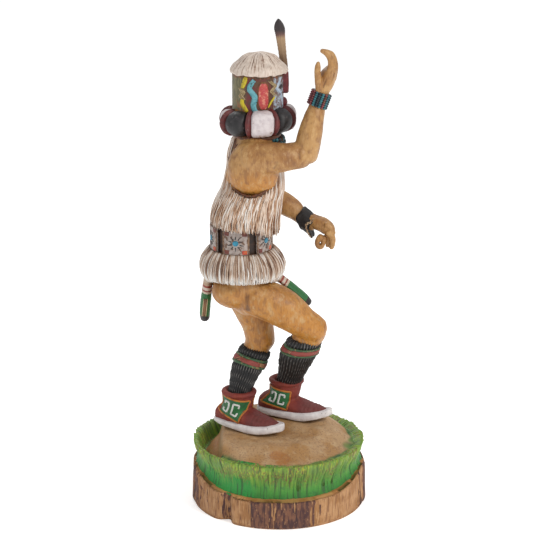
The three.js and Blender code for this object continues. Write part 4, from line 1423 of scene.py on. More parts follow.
        def shape(angle: float, radius: float, up: float) -> tuple[Vector, tuple[float]]:
            """A point of the combed dome, with how pale it is: its grooves are dark."""
            share = radius / 100
            reach, rise = spline(dome, min(share, 1.0))
            inner = max(share - 1.0, 0.0)
            cut = 0.0
            for middle, start, end, lean, depth in grooves:
                gap = (angle - middle - lean * share + pi) % TURN - pi
                across = abs(gap) * self.cap_radius * max(reach, 0.05)
                if across < 1.2:
                    cut = max(cut, depth * bell(across, 0.17) * smooth(share, start - 0.08, start + 0.05)
                              * smooth(end, share - 0.04, share + 0.04))
            ragged = 0.8 * rough(Vector((cos(angle), sin(angle), 0)) * 0.02, 4.2) * smooth(share, 0.8, 1.0)
            size = self.cap_radius * reach * (1 - 0.75 * inner) + 0.5 * ragged
            cut *= blend(0.5, 1.0, smooth(share, 0.8, 0.45))
            lump = 0.6 * rough(Vector((cos(angle) * reach, sin(angle) * reach, rise)) * 0.02, 6.0)
            up = self.cap_rim + self.cap_height * rise + (lump - ragged * 1.2 - 0.4 * cut) * (inner < 0.01)
            size -= 0.35 * cut * smooth(share, 0.5, 0.9)
            spot = place(self.forward + 0.9 + size * cos(angle), size * sin(angle), up)
            return spot, (0.62 + 0.14 * rough(spot, 1.6) - 0.85 * cut,)

        profile = [(100 * k / rings, 0) for k in range(rings + 1)] + [(120, 0), (200, 0)]
        cap.lathe(profile, 620, shape, layers=[cap.mark])
        cap.finished(Stripes(
            "hair_paint",
            ((0.0, (96, 62, 44)), (0.3, (170, 140, 120)), (0.5, (222, 202, 186)),
             (0.75, (242, 228, 214)), (1.0, (252, 246, 238))),
            jitter=0.2, size=1.1, gloss=0.6, relief=0.18, dirt=0.3))


class Length(Enum):
    """What a length of the ruff is, with its tube, squareness and crown, and its paint."""

    DARK = (8.7, 1.0, 3.2, 0.25, Paint("ruff_black", (24, 22, 24), (48, 44, 47), (104, 96, 96), 0.3, 3, 0.5))
    WHITE = (8.7, 0.62, 7.0, 0.45, Paint("ruff_white", (232, 222, 222), (214, 202, 204),
                                         (164, 132, 112), 0.3, 3, 0.6, 0.25))
    DISC = (9.3, 1.0, 2.4, 0.2, Paint("ruff_red", (116, 42, 40), (92, 34, 36), (150, 100, 84), 0.3, 3, 0.55))


@dataclass
class Ruff:
    """The padded ruff: black and white lengths by turns, with a red disc between each two."""

    forward: float = -14.9
    up: float = 277.0
    radius: float = 18.2
    discs: tuple[float, ...] = (-66.0, -13.5, 32.5, 77.5, 120.8, 164.1, 207.4, 250.7, 294.0)
    disc_half: float = 6.5
    spare: float = 4.0
    lean_at: float = 272.4
    lean_by: float = 1.6

    def length(self, carving: Carving, degrees: float, half: float, kind: Length) -> None:
        """Adds one length of the ring at an angle from the right side towards the front."""
        tube, square, crown = kind.value[:3]
        tube -= self.lean_by * (abs(degrees - self.lean_at) < 5)
        frames = []
        for k in range(17):
            share = sin(pi * (k / 16 - 0.5)) * 0.995
            full = (1 - abs(share) ** crown) ** (1 / crown)
            angle = NEAR + radians(degrees + half * share)
            out = Vector((sin(angle), -cos(angle), 0.0))
            along = Vector((cos(angle), sin(angle), 0.0))
            reach = self.radius * cos(angle)
            centre = place(self.forward + reach, self.radius * sin(angle), self.up + 0.06 * reach)
            size = tube * MM * max(full, 0.05)
            frames.append(framed(centre, out * size, Vector((0, 0, size)), along))
        carving.loft(frames, 40, square)

    def build(self) -> None:
        """Makes the black, white and red pieces."""
        pieces = {kind: Carving("ruff_" + kind.name.lower()) for kind in Length}
        for k, (first, second) in enumerate(zip(self.discs, self.discs[1:])):
            kind = Length.WHITE if k % 2 else Length.DARK
            self.length(pieces[kind], (first + second) / 2, (second - first) / 2 - self.spare, kind)
            self.length(pieces[Length.DISC], second, self.disc_half, Length.DISC)
        for kind, carving in pieces.items():
            lumps, paint = kind.value[3:]
            carving.roughened((lumps, 3.2), (0.6 * lumps, 1.3))
            carving.finished(paint)


class Bead(Enum):
    """The beads' paints."""

    RED = Paint("bead_red", (138, 62, 66), (104, 46, 50), (190, 120, 116), 0.25, 3, 0.5)
    TEAL = Paint("bead_teal", (52, 120, 128), (34, 88, 100), (96, 150, 140), 0.25, 3, 0.45)
    DARK = Paint("bead_dark", (28, 48, 60), (38, 38, 44), (90, 100, 96), 0.2, 3, 0.45)
    BROWN = Paint("bead_brown", (120, 74, 44), (84, 52, 32), (170, 130, 80), 0.25, 3, 0.5)


@dataclass
class Beadwork:
    """The necklace under the ruff and the bracelet of bead columns on the raised wrist."""

    start: Row = (25.4, -18.3, 289.2)
    end: Row = (28.9, -18.0, 298.8)
    radius: float = 6.3
    columns: int = 18
    rows: int = 7
    strings: tuple[Row, ...] = ((13.6, 266.0, 1.9), (14.4, 263.8, 1.7))

    def bead(self, carving: Carving, spot: Vector, along: Vector, radius: float, thick: float,
             sides: int = 10) -> None:
        """Adds one bead, turned along its string."""
        turn = along.to_track_quat("Z", "Y").to_matrix().to_4x4()
        size = Matrix.Diagonal((radius * MM, radius * MM, thick * MM, 1.0))
        bmesh.ops.create_uvsphere(carving.bm, u_segments=sides, v_segments=6, radius=1.0,
                                  matrix=Matrix.Translation(spot) @ turn @ size)

    def build(self) -> None:
        """Makes the beads, one piece for each colour."""
        colours = {kind: Carving("beads_" + kind.name.lower()) for kind in Bead}
        start, end = place(*self.start), place(*self.end)
        along = (end - start).normalized()
        near = (Vector((-1, 0, 0)) + along * along.x).normalized()
        front = near.cross(along) if near.cross(along).y < 0 else along.cross(near)
        red, teal, dark = Bead.RED, Bead.TEAL, Bead.DARK
        layout = [red] * 3 + [teal, dark, teal, red, teal, dark, teal]
        layout += [red] * 3 + [teal, teal, dark, teal, teal]
        sleeve = Carving("bracelet_backing")
        frames = []
        for share in (0.0, 0.1, 0.9, 1.0):
            size = (self.radius - (0.7 if share in (0.0, 1.0) else 0.2)) * MM
            frames.append(framed(start.lerp(end, share), near * size, front * size, along))
        sleeve.loft(frames, 36)
        sleeve.finished(Bead.DARK.value)
        for column in range(self.columns):
            angle = radians(-90 + 360 * column / self.columns)
            out = near * cos(angle) + front * sin(angle)
            for row in range(self.rows):
                share = (row + 0.5) / self.rows
                kind = layout[column]
                if column == 6 and row % 2 and row > 1:
                    kind = Bead.BROWN
                spot = start.lerp(end, share) + out * self.radius * MM
                self.bead(colours[kind], spot, along, 1.1, 0.84)
        order = (Bead.BROWN, Bead.TEAL, Bead.TEAL, Bead.DARK, Bead.BROWN, Bead.TEAL, Bead.DARK, Bead.DARK)
        for lay, (reach, up, size) in enumerate(self.strings):
            count = 30 + 3 * lay
            for k in range(count):
                angle = TURN * k / count
                ahead = reach * cos(angle)
                spot = place(-11 + ahead, (reach + 1.5) * sin(angle), up - 0.16 * ahead)
                side = Vector((cos(angle), sin(angle), 0))
                self.bead(colours[order[(k + 3 * lay) % len(order)]], spot, side, size, 1.5, 12)
        for kind, carving in colours.items():
            carving.finished(kind.value)


@dataclass
class Leg:
    """One leg's stocking and garter, round the shin."""

    name: str
    shin: tuple[Row, ...]
    collar: float
    foot: float
    garter: tuple[float, float]
    level: float = 0.0
    ribs: int = 34

    def frame(self, up: float, grow: float) -> Matrix:
        """The shin's own ring at a height, grown by some millimetres."""
        low, high = 0.0, 1.0
        for _ in range(24):
            share = (low + high) / 2
            low, high = (share, high) if spline(self.shin, share)[2] > up else (low, share)
        forward, left, height, thick, wide = spline(self.shin, low)
        along = (place(*spline(self.shin, min(low + 0.03, 1))[:3])
                 - place(*spline(self.shin, max(low - 0.03, 0))[:3])).normalized()
        along = along.lerp(Vector((0, 0, -1)), self.level).normalized()
        across = (Vector((1, 0, 0)) - along * along.x).normalized()
        deep = along.cross(across)
        return framed(place(forward, left, height), deep * (thick + grow) * MM, across * (wide + grow) * MM,
                      along)

    def tube(self, carving: Carving, rows: Sequence[Row], sides: int) -> None:
        """Skins rows of height and growth round the shin."""
        carving.loft([self.frame(up, grow) for up, grow in rows], sides)

    def build(self) -> None:
        """Makes the stocking with its rolled collar, and the garter's stripes."""
        sock = Carving(self.name + "_stocking")
        top = self.collar
        low, high = self.garter
        rows = [(top - 0.3, -1.6), (top, -0.4), (top - 0.6, 0.9), (top - 2.4, 1.7), (top - 4.4, 1.5),
                (high + 0.6, 0.9), (high - 1, 0.4), (low - 0.4, 0.3)]
        steps = 16
        rows += [(blend(low - 1.4, self.foot, k / steps), 0.2 * sin(1.7 * k) + 0.4) for k in range(steps + 1)]
        self.tube(sock, rows, self.ribs * 6)
        middle = [self.frame(up, 0) for up in (self.collar, self.foot)]
        axis = middle[1].translation - middle[0].translation

        def rib(spot: Vector) -> float:
            """Upright ribs with small stitches, wandering a little."""
            share = (spot - middle[0].translation).dot(axis) / axis.length_squared
            centre = self.frame(blend(self.collar, self.foot, min(max(share, 0), 1)), 0)
            local = centre.inverted() @ spot
            angle = atan2(local.y, local.x) + 0.05 * sin(share * 9)
            wave = cos(angle * self.ribs)
            stitch = sin(share * 190 + 2.5 * angle)
            return 0.42 * wave + 0.14 * stitch * (wave > 0)

        depths = {tuple(v.co): rib(v.co) for v in sock.bm.verts}
        for vertex in sock.bm.verts:
            vertex[sock.mark] = 0.5 + depths[tuple(vertex.co)]
        collar = middle[0].translation.z / MM
        sock.pushed(lambda spot: depths[tuple(spot)] + 0.12 * rough(spot, 2.2)
                    + 0.7 * rough(spot, 3.4) * smooth(spot.z / MM, collar - 6, collar - 3))
        # The knit's pale grey crest stop is dust together with a painted highlight on the rib crests; the
        # grooves stay near black.
        sock.finished(Stripes(
            "stocking_knit",
            ((0.0, (4, 4, 5)), (0.45, (12, 11, 13)), (0.8, (34, 33, 35)),
             (1.0, (120, 116, 112))),
            jitter=0.2, size=0.9, gloss=0.5, relief=0.3, dirt=0.1))
        tall = high - low
        band = Carving(self.name + "_garter_band")
        self.tube(band, [(high - tall * share, grow) for share, grow in
                         ((0.2, 0.4), (0.22, 2.0), (0.3, 2.35), (0.5, 2.45), (0.7, 2.35), (0.78, 2.0),
                          (0.8, 0.4))], 120)
        draw = random.Random(len(self.name))
        nicks = [(draw.uniform(0, TURN), draw.uniform(0.05, 0.16), draw.uniform(0.4, 1.0)) for _ in range(15)]
        centre = self.frame((low + high) / 2, 0)

        def nick(spot: Vector) -> float:
            """How much of a carved nick a point lies in."""
            local = centre.inverted() @ spot
            angle = atan2(local.y, local.x) + 0.4 * rough(spot, 3)
            return max(strength * bell((angle - at + pi) % TURN - pi, size)
                       for at, size, strength in nicks)

        band.tinted(lambda spot: min(1.0, nick(spot)))
        band.pushed(lambda spot: -0.7 * nick(spot) + 0.2 * rough(spot, 1.6))
        band.finished(Stripes(
            "garter_red",
            ((0.0, (152, 66, 58)), (0.45, (140, 60, 50)), (0.62, (184, 136, 96)),
             (0.85, (96, 52, 36)), (1.0, (40, 26, 20))),
            jitter=0.22, size=1.6, gloss=0.6, relief=0.2, dirt=0.3))
        edges = Carving(self.name + "_garter_edges")
        for shares in ((-0.04, 0.24), (0.76, 1.04)):
            a, b = (high - tall * share for share in shares)
            self.tube(edges, [(a, 0.3), (a, 1.7), (blend(a, b, 0.3), 2.2), (blend(a, b, 0.7), 2.2), (b, 1.7),
                              (b, 0.3)],
                      72)
        edges.roughened((0.2, 2.0))
        edges.finished(Paint("garter_green", (72, 106, 68), (50, 84, 56), (150, 130, 88), 0.45, 3, 0.6))


@dataclass
class Moccasin:
    """One moccasin on its own axes, heel at the start and toe along, then turned and set down."""

    name: str
    heel: tuple[float, float]
    yaw: float
    ground: float
    ankle: float
    panel: tuple[tuple[float, float], ...]
    rocker: tuple[float, float]
    stretch: float = 57 / 54
    sole_thick: float = 6.8

    def put(self, along: float, across: float, up: float) -> Vector:
        """A point of the doll from a point of the moccasin, in millimetres."""
        turn = radians(self.yaw) - pi / 2
        x = (along * cos(turn) - across * sin(turn)) * MM
        y = (along * sin(turn) + across * cos(turn)) * MM
        return Vector((x, y, 0)) + place(self.heel[0], self.heel[1], self.ground + up)

    def hull(self, carving: Carving, rows: Sequence[Row], sides: int, square: float, fine: int = 4) -> None:
        """Skins rows of along, half width, low and high from heel to toe."""
        count = (len(rows) - 1) * fine
        frames = []
        for k in range(count + 1):
            along, half, low, high = spline(rows, k / count)
            centre = self.put(along * self.stretch, 0, (low + high) / 2)
            side = self.put(along * self.stretch, half, (low + high) / 2) - centre
            ahead = (self.put(along + 1, 0, 0) - self.put(along, 0, 0)).normalized()
            frames.append(framed(centre, side, Vector((0, 0, (high - low) / 2 * MM)), ahead))
        carving.loft(frames, sides, square)

    vamp: tuple[Row, ...] = (
        (1.0, 4.8, 4, 12), (3, 7.4, 3, 15), (10, 9.3, 2, 19), (18, 9.7, 2, 18.6), (26, 9.6, 2, 15.6),
        (36, 8.8, 2, 12.4), (44, 6.6, 3, 10.8), (49, 3.6, 4, 9.6), (51, 1.4, 5, 8.8),
    )

    def shaft_at(self, up: float) -> tuple[float, float, float]:
        """The boot shaft's middle, depth and half width at a height."""
        rows = ((-3.5, 6, 9.6, 8.8), (-3.0, 12, 10.4, 9.8), (-1.5, 19, 11.0, 10.4), (-0.4, 24, 11.2, 10.6),
                (0, 27, 11.8, 11.0))
        share = (up - 6) / 21
        shift, _, deep, wide = spline(rows, share)
        return self.ankle + shift, deep, wide

    def side_at(self, along: float, up: float) -> float:
        """How far out the moccasin's side is at a place along and up."""
        widest = 1.5
        for k in range(len(self.vamp) - 1):
            a, b = self.vamp[k], self.vamp[k + 1]
            if a[0] <= along / self.stretch <= b[0]:
                t = (along / self.stretch - a[0]) / (b[0] - a[0])
                _, half, low, high = (blend(p, q, t) for p, q in zip(a, b))
                lift = (up - (low + high) / 2) / ((high - low) / 2)
                widest = max(widest, half * max(0.0, 1 - lift * lift) ** 0.5)
        middle, deep, wide = self.shaft_at(up)
        reach = (along - middle) / deep
        return max(widest, wide * max(0.0, 1 - reach * reach) ** 0.5)

    def build(self) -> None:
        """Makes the sole, the upper, the shaft and the painted panels."""
        sole = Carving(self.name + "_sole")
        top = self.sole_thick
        heel, toe = self.rocker
        self.hull(sole, (
            (-0.2, 3.4, 1.4 + heel, top - 1), (1.2, 6.6, 0.3 + heel, top), (4, 8.8, heel * 0.75, top),
            (12, 10, heel * 0.3, top), (24, 10.4, 0, top), (34, 11.2, 0, top + 0.2),
            (42, 10.4, toe * 0.3, top + 1.0),
            (48, 7.6, toe * 0.7, top + 2.0), (52, 4.4, toe, top + 3.2), (54, 1.6, toe + 1, top + 3.4),
        ), 32, 0.5)
        sole.roughened((0.22, 4.0), (0.1, 1.5))
        sole.finished(Paint("sole_white", (246, 240, 238), (226, 218, 218), (160, 146, 138), 0.25,
                            5, 0.6, 0.18))
        upper = Carving(self.name + "_upper")
        self.hull(upper, self.vamp, 40, 0.9, 5)
        frames = []
        for k in range(15):
            up = 5 + 20.5 * k / 14
            middle, deep, wide = self.shaft_at(up)
            frames.append(self.ring_frame(middle, deep, wide, up))
        for grow, up in ((0.9, 25.6), (1.3, 26.8), (1.1, 28.0), (0.1, 28.8), (-2.0, 28.6), (-3.4, 27.4),
                         (-3.8, 23)):
            middle, deep, wide = self.shaft_at(26)
            frames.append(self.ring_frame(middle, deep + grow, wide + grow, up))
        upper.loft(frames, 48)
        upper.fused(0.55, 4)
        throat = self.put(self.ankle + 15, 0, 16)

        def fold(spot: Vector) -> float:
            """Wrinkles across the vamp and small dents."""
            along = (spot - self.put(0, 0, 0)).dot((self.put(1, 0, 0) - self.put(0, 0, 0)).normalized()) / MM
            on_vamp = smooth(along, self.ankle + 12, self.ankle + 17) * smooth(spot.z / MM, self.ground + 7,
                                                                                self.ground + 10)
            wrinkle = sin(along * 2.1 + 2.2 * rough(spot, 5)) * on_vamp
            seam = -0.5 * bell((spot - throat).length / MM, 3.0)
            return 0.16 * wrinkle + 0.28 * rough(spot, 4.5) + 0.1 * rough(spot, 1.6) + seam

        upper.pushed(fold)
        foot = self.put(0, 0, 0)
        ahead = (self.put(1, 0, 0) - foot).normalized()
        upper.tinted(lambda spot: 0.35 + 0.5 * smooth((spot - foot).dot(ahead) / MM, self.ankle + 8,
                                                      self.ankle + 17) + 0.1 * rough(spot, 3))
        upper.finished(Stripes(
            "moccasin_suede",
            ((0.0, (158, 74, 44)), (0.35, (136, 50, 36)), (0.6, (120, 44, 40)), (1.0, (118, 60, 56))),
            jitter=0.22, size=3.0, stretch=(1.0, 1.0, 1.0), gloss=0.72, relief=0.25, dirt=0.45))
        self.panels()

    def ring_frame(self, middle: float, deep: float, wide: float, up: float) -> Matrix:
        """A level ring of the shaft."""
        centre = self.put(middle, 0, up)
        ahead = self.put(middle + deep, 0, up) - centre
        side = self.put(middle, wide, up) - centre
        return framed(centre, ahead, side, Vector((0, 0, 1)))

    def on_panel(self, u: float, v: float, side: float, out: float) -> Vector:
        """A point of the ankle panel from its shares along and up, with a notch at the heel."""
        notch = 3.6 * (1 - abs(2 * v - 1)) * (1 - u) ** 2
        (heel_low, foot_low), (toe_low, foot_toe), (heel_high, top_heel), (toe_high, top_toe) = self.panel
        along = blend(blend(heel_low, heel_high, v), blend(toe_low, toe_high, v), u) + notch
        up = blend(blend(foot_low, foot_toe, u), blend(top_heel, top_toe, u), v)
        return self.put(along, side * (self.side_at(along, up) + out), up)

    def panels(self) -> None:
        """Makes the green panel with its orange border and white hooks, on both sides."""
        green = Carving(self.name + "_panel")
        border = Carving(self.name + "_panel_border")
        hooks = Carving(self.name + "_hooks")
        for side in (-1.0, 1.0):
            tile(green, 24, 14, 0.5, lambda x, y,
                 top: self.on_panel(x + 0.5, y + 0.5, side, 0.6 if top else -0.8))
            outs = [self.facing(side)] * 13
            loop = [(0, 0), (1, 0), (1, 1), (0, 1), (0, 0.5), (0, 0)]
            for start, end in zip(loop, loop[1:]):
                path = [self.on_panel(blend(start[0], end[0], k / 12), blend(start[1], end[1], k / 12), side,
                                      0.6)
                        for k in range(13)]
                ribbon(border, path, outs, 0.7, 0.5, 8, 0.0)
            for middle, way in ((0.34, 1.0), (0.72, -1.0)):
                knots = ((-1, 0.45), (-1, 1), (1, 1), (1, -1), (-1, -1), (-1, -0.45))
                for start, end in zip(knots, knots[1:]):
                    path = []
                    for k in range(7):
                        x, y = (blend(a, b, k / 6) for a, b in zip(start, end))
                        path.append(self.on_panel(middle + way * x * 0.1, 0.5 + y * 0.28, side, 0.75))
                    ribbon(hooks, path, outs[:7], 0.72, 0.5, 8, 0.0)
        for carving, finish in (
            (green, Paint("panel_green", (40, 116, 60), (30, 92, 50), (96, 104, 52), 0.3, 4)),
            (border, Paint("panel_orange", (200, 122, 40), (176, 92, 34), (120, 76, 36), 0.3, 4)),
            (hooks, Paint("hook_white", (232, 232, 226), (214, 214, 210), (150, 160, 140), 0.2, 4)),
        ):
            carving.finished(finish)

    def facing(self, side: float) -> Vector:
        """The way out of the moccasin's side."""
        return (self.put(0, side, 0) - self.put(0, 0, 0)).normalized()


@dataclass
class Sash:
    """The two hanging ends of the sash, banded cream and red above, green below, dark at the tip."""

    rear: tuple[Row, ...] = (
        (-47.6, 0, 173, 3.2, 7.6), (-49.6, 0, 161, 3.5, 8), (-51, 0, 150, 3.7, 8.2), (-52, 0, 140, 3.7, 8),
        (-52, 0, 135.4, 3.3, 7),
    )
    front: tuple[Row, ...] = (
        (-10, 3.1, 170.4, 2.6, 6.4), (1, 2.6, 163, 2.8, 6.6), (10, 2, 155.8, 3, 6.8),
        (18, 1.4, 148.8, 3, 6.6), (20.8, 1.2, 146, 2.6, 5.6),
    )

    def build(self) -> None:
        """Makes both ends."""
        banding = Stripes("sash_paint", (
            (0.0, (196, 172, 146)), (0.12, (40, 32, 28)), (0.2, (206, 186, 164)),
            (0.28, (196, 164, 136)), (0.34, (158, 66, 52)), (0.38, (222, 206, 190)),
            (0.43, (150, 64, 52)), (0.46, (216, 198, 176)), (0.5, (36, 112, 54)),
            (0.93, (40, 34, 32)),
        ), "CONSTANT", 0.012, 2.0, (1, 1, 1), 0.55, 0.2, 0.35)
        for name, rows in (("sash_rear", self.rear), ("sash_front", self.front)):
            strip = Carving(name)
            first, last = place(*rows[0][:3]), place(*rows[-1][:3])
            way = last - first
            strip.limb(rows, 32, 8)
            strip.tinted(lambda spot: (spot - first).dot(way) / way.length_squared)
            strip.roughened((0.2, 3), (0.1, 1.2))
            strip.finished(banding)
        stripe = Carving("sash_stripe")
        outline = Carving("sash_stripe_edges")
        for side, carving, width in ((0.0, stripe, 0.9), (-1.3, outline, 0.35), (1.3, outline, 0.35)):
            points = [place(blend(-51.0, -52.4, k / 8) + side, -8.1, blend(151, 138.4, k / 8))
                      for k in range(9)]
            ribbon(carving, points, [Vector((-1, 0, 0))] * 9, width, 0.5, 8, 0.0)
        stripe.finished(Paint("stripe_brown", (150, 104, 66), (120, 80, 50)))
        outline.finished(Paint("stripe_cream", (214, 190, 150), (186, 160, 120)))


@dataclass
class BowGuard:
    """The dark leather guard on the left wrist, with a curled, ragged edge."""

    start: Row = (14.8, 20.8, 203.9)
    end: Row = (25.2, 15.6, 197.4)
    radius: float = 7.2

    def build(self) -> None:
        """Makes the guard and the lacing along its hand's edge."""
        guard = Carving("bow_guard")
        start, end = place(*self.start), place(*self.end)
        along = (end - start).normalized()
        across = (Vector((1, 0, 0)) - along * along.x).normalized()
        deep = along.cross(across)
        low = -deep if deep.z > 0 else deep
        frames = []
        for share, grow in ((0.08, -2.0), (0.0, -0.3), (0.02, 0.3), (0.15, 0.1), (0.3, 0.0), (0.5, 0.0),
                            (0.7, 0.0), (0.85, 0.2), (0.97, 0.5), (1.0, 0.1), (0.95, -1.6)):
            size = (self.radius + grow) * MM
            frames.append(framed(start.lerp(end, share), deep * size, across * size, along))
        guard.loft(frames, 96)

        def slanted(spot: Vector) -> Vector:
            """A point of the guard, its ends slanted and ragged."""
            share = (spot - start).dot(along) / (end - start).length
            below = (spot - start.lerp(end, share)).dot(low) / (self.radius * MM)
            ragged = rough(spot, 4.0, 2.0) * 1.3 * abs(share - 0.5) * 2
            back = 6.0 * smooth(below, 0.1, 1.0) * (1 - share)
            front = (3.2 * smooth(below, 0.45, 1.0) - 2.4 * bell(below - 0.1, 0.4)) * share
            return spot + along * (ragged + back + front) * MM

        for vertex in guard.bm.verts:
            vertex.co = slanted(vertex.co)
        guard.roughened((0.4, 4.0), (0.25, 1.4))
        guard.tinted(lambda spot: 0.4 + 0.3 * rough(spot, 3.0))
        guard.finished(Stripes(
            "guard_leather",
            ((0.0, (12, 9, 9)), (0.45, (24, 18, 16)), (0.75, (44, 32, 26)), (1.0, (104, 80, 58))),
            jitter=0.2, size=2.0, stretch=(1, 1, 1), gloss=0.55, relief=0.3, dirt=0.2))
        lacing = Carving("guard_lacing")
        near = -across if across.x > 0 else across
        path, outs = [], []
        for k in range(49):
            turn = pi * (k / 48 - 0.5)
            out = near * cos(turn) + low * sin(turn)
            share = 0.9 + 0.05 * (-1) ** (k // 2)
            path.append(slanted(start.lerp(end, share) + out * (self.radius + 0.15) * MM) + out * 0.5 * MM)
            outs.append(out)
        ribbon(lacing, path, outs, 0.5, 0.45, 6, 0.2)
        lacing.finished(Paint("lacing_cream", (196, 170, 136), (150, 112, 76), (96, 60, 40), 0.4, 2.0))


@dataclass
class Plume:
    """The carved feather beside the cap: a quill, combed barbs and a dark leaf-shaped tip."""

    foot: Row = (4.0, 9.0, 308.6)
    length: float = 36.0
    lean: float = -4.4
    half: float = 3.5

    def build(self) -> None:
        """Makes the feather."""
        widths = ((0, 0.7), (0.2, 0.74), (0.35, 0.78), (0.5, 0.84), (0.62, 0.9), (0.7, 0.96), (0.78, 1.06),
                  (0.84, 1.0), (0.9, 0.78), (0.95, 0.46), (0.985, 0.14))
        frames, rows = [], 64
        for k in range(rows + 1):
            share, wide = spline(widths, k / rows)
            forward, left, up = self.foot
            spot = place(forward + self.lean * share, left + share, up + self.length * share)
            thick = (0.5 + 0.55 * min(1.0, wide)) * MM
            frames.append(framed(spot, Vector((0, -self.half * wide * MM, 0)), Vector((thick, 0, 0)),
                                 Vector((0, 0, 1))))
        feather = Carving("feather_vane")
        feather.loft(frames, 40)
        foot = place(*self.foot)
        tip = foot + place(self.lean, 1.0, self.length)

        def middle(spot: Vector) -> tuple[float, float]:
            """The share up the feather and the millimetres from its quill."""
            share = (spot - foot).dot(tip - foot) / (tip - foot).length_squared
            return share, -(spot - foot.lerp(tip, share)).y / MM

        def barbs(spot: Vector) -> float:
            """Slanting barbs either side of a raised quill."""
            share, across = middle(spot)
            comb = sin((share * self.length - abs(across) * 1.5) * 5.5 + 1.5 * rough(spot, 3))
            return 0.11 * comb * smooth(abs(across), 0.3,
                                        1.0) + 0.3 * bell(across, 0.45) * smooth(share, 1.0, 0.7)

        feather.tinted(lambda spot: middle(spot)[0] + 0.02 * rough(spot, 2))
        feather.pushed(barbs)
        feather.finished(Stripes(
            "feather_paint",
            ((0.0, (112, 84, 62)), (0.2, (128, 98, 72)), (0.4, (168, 138, 106)),
             (0.62, (184, 152, 116)), (0.68, (122, 88, 80)), (0.76, (62, 50, 52)),
             (1.0, (40, 36, 38))),
            jitter=0.05, size=0.8, stretch=(1.0, 1.0, 0.25), gloss=0.6, relief=0.12, dirt=0.25), Slot.FEATHER)


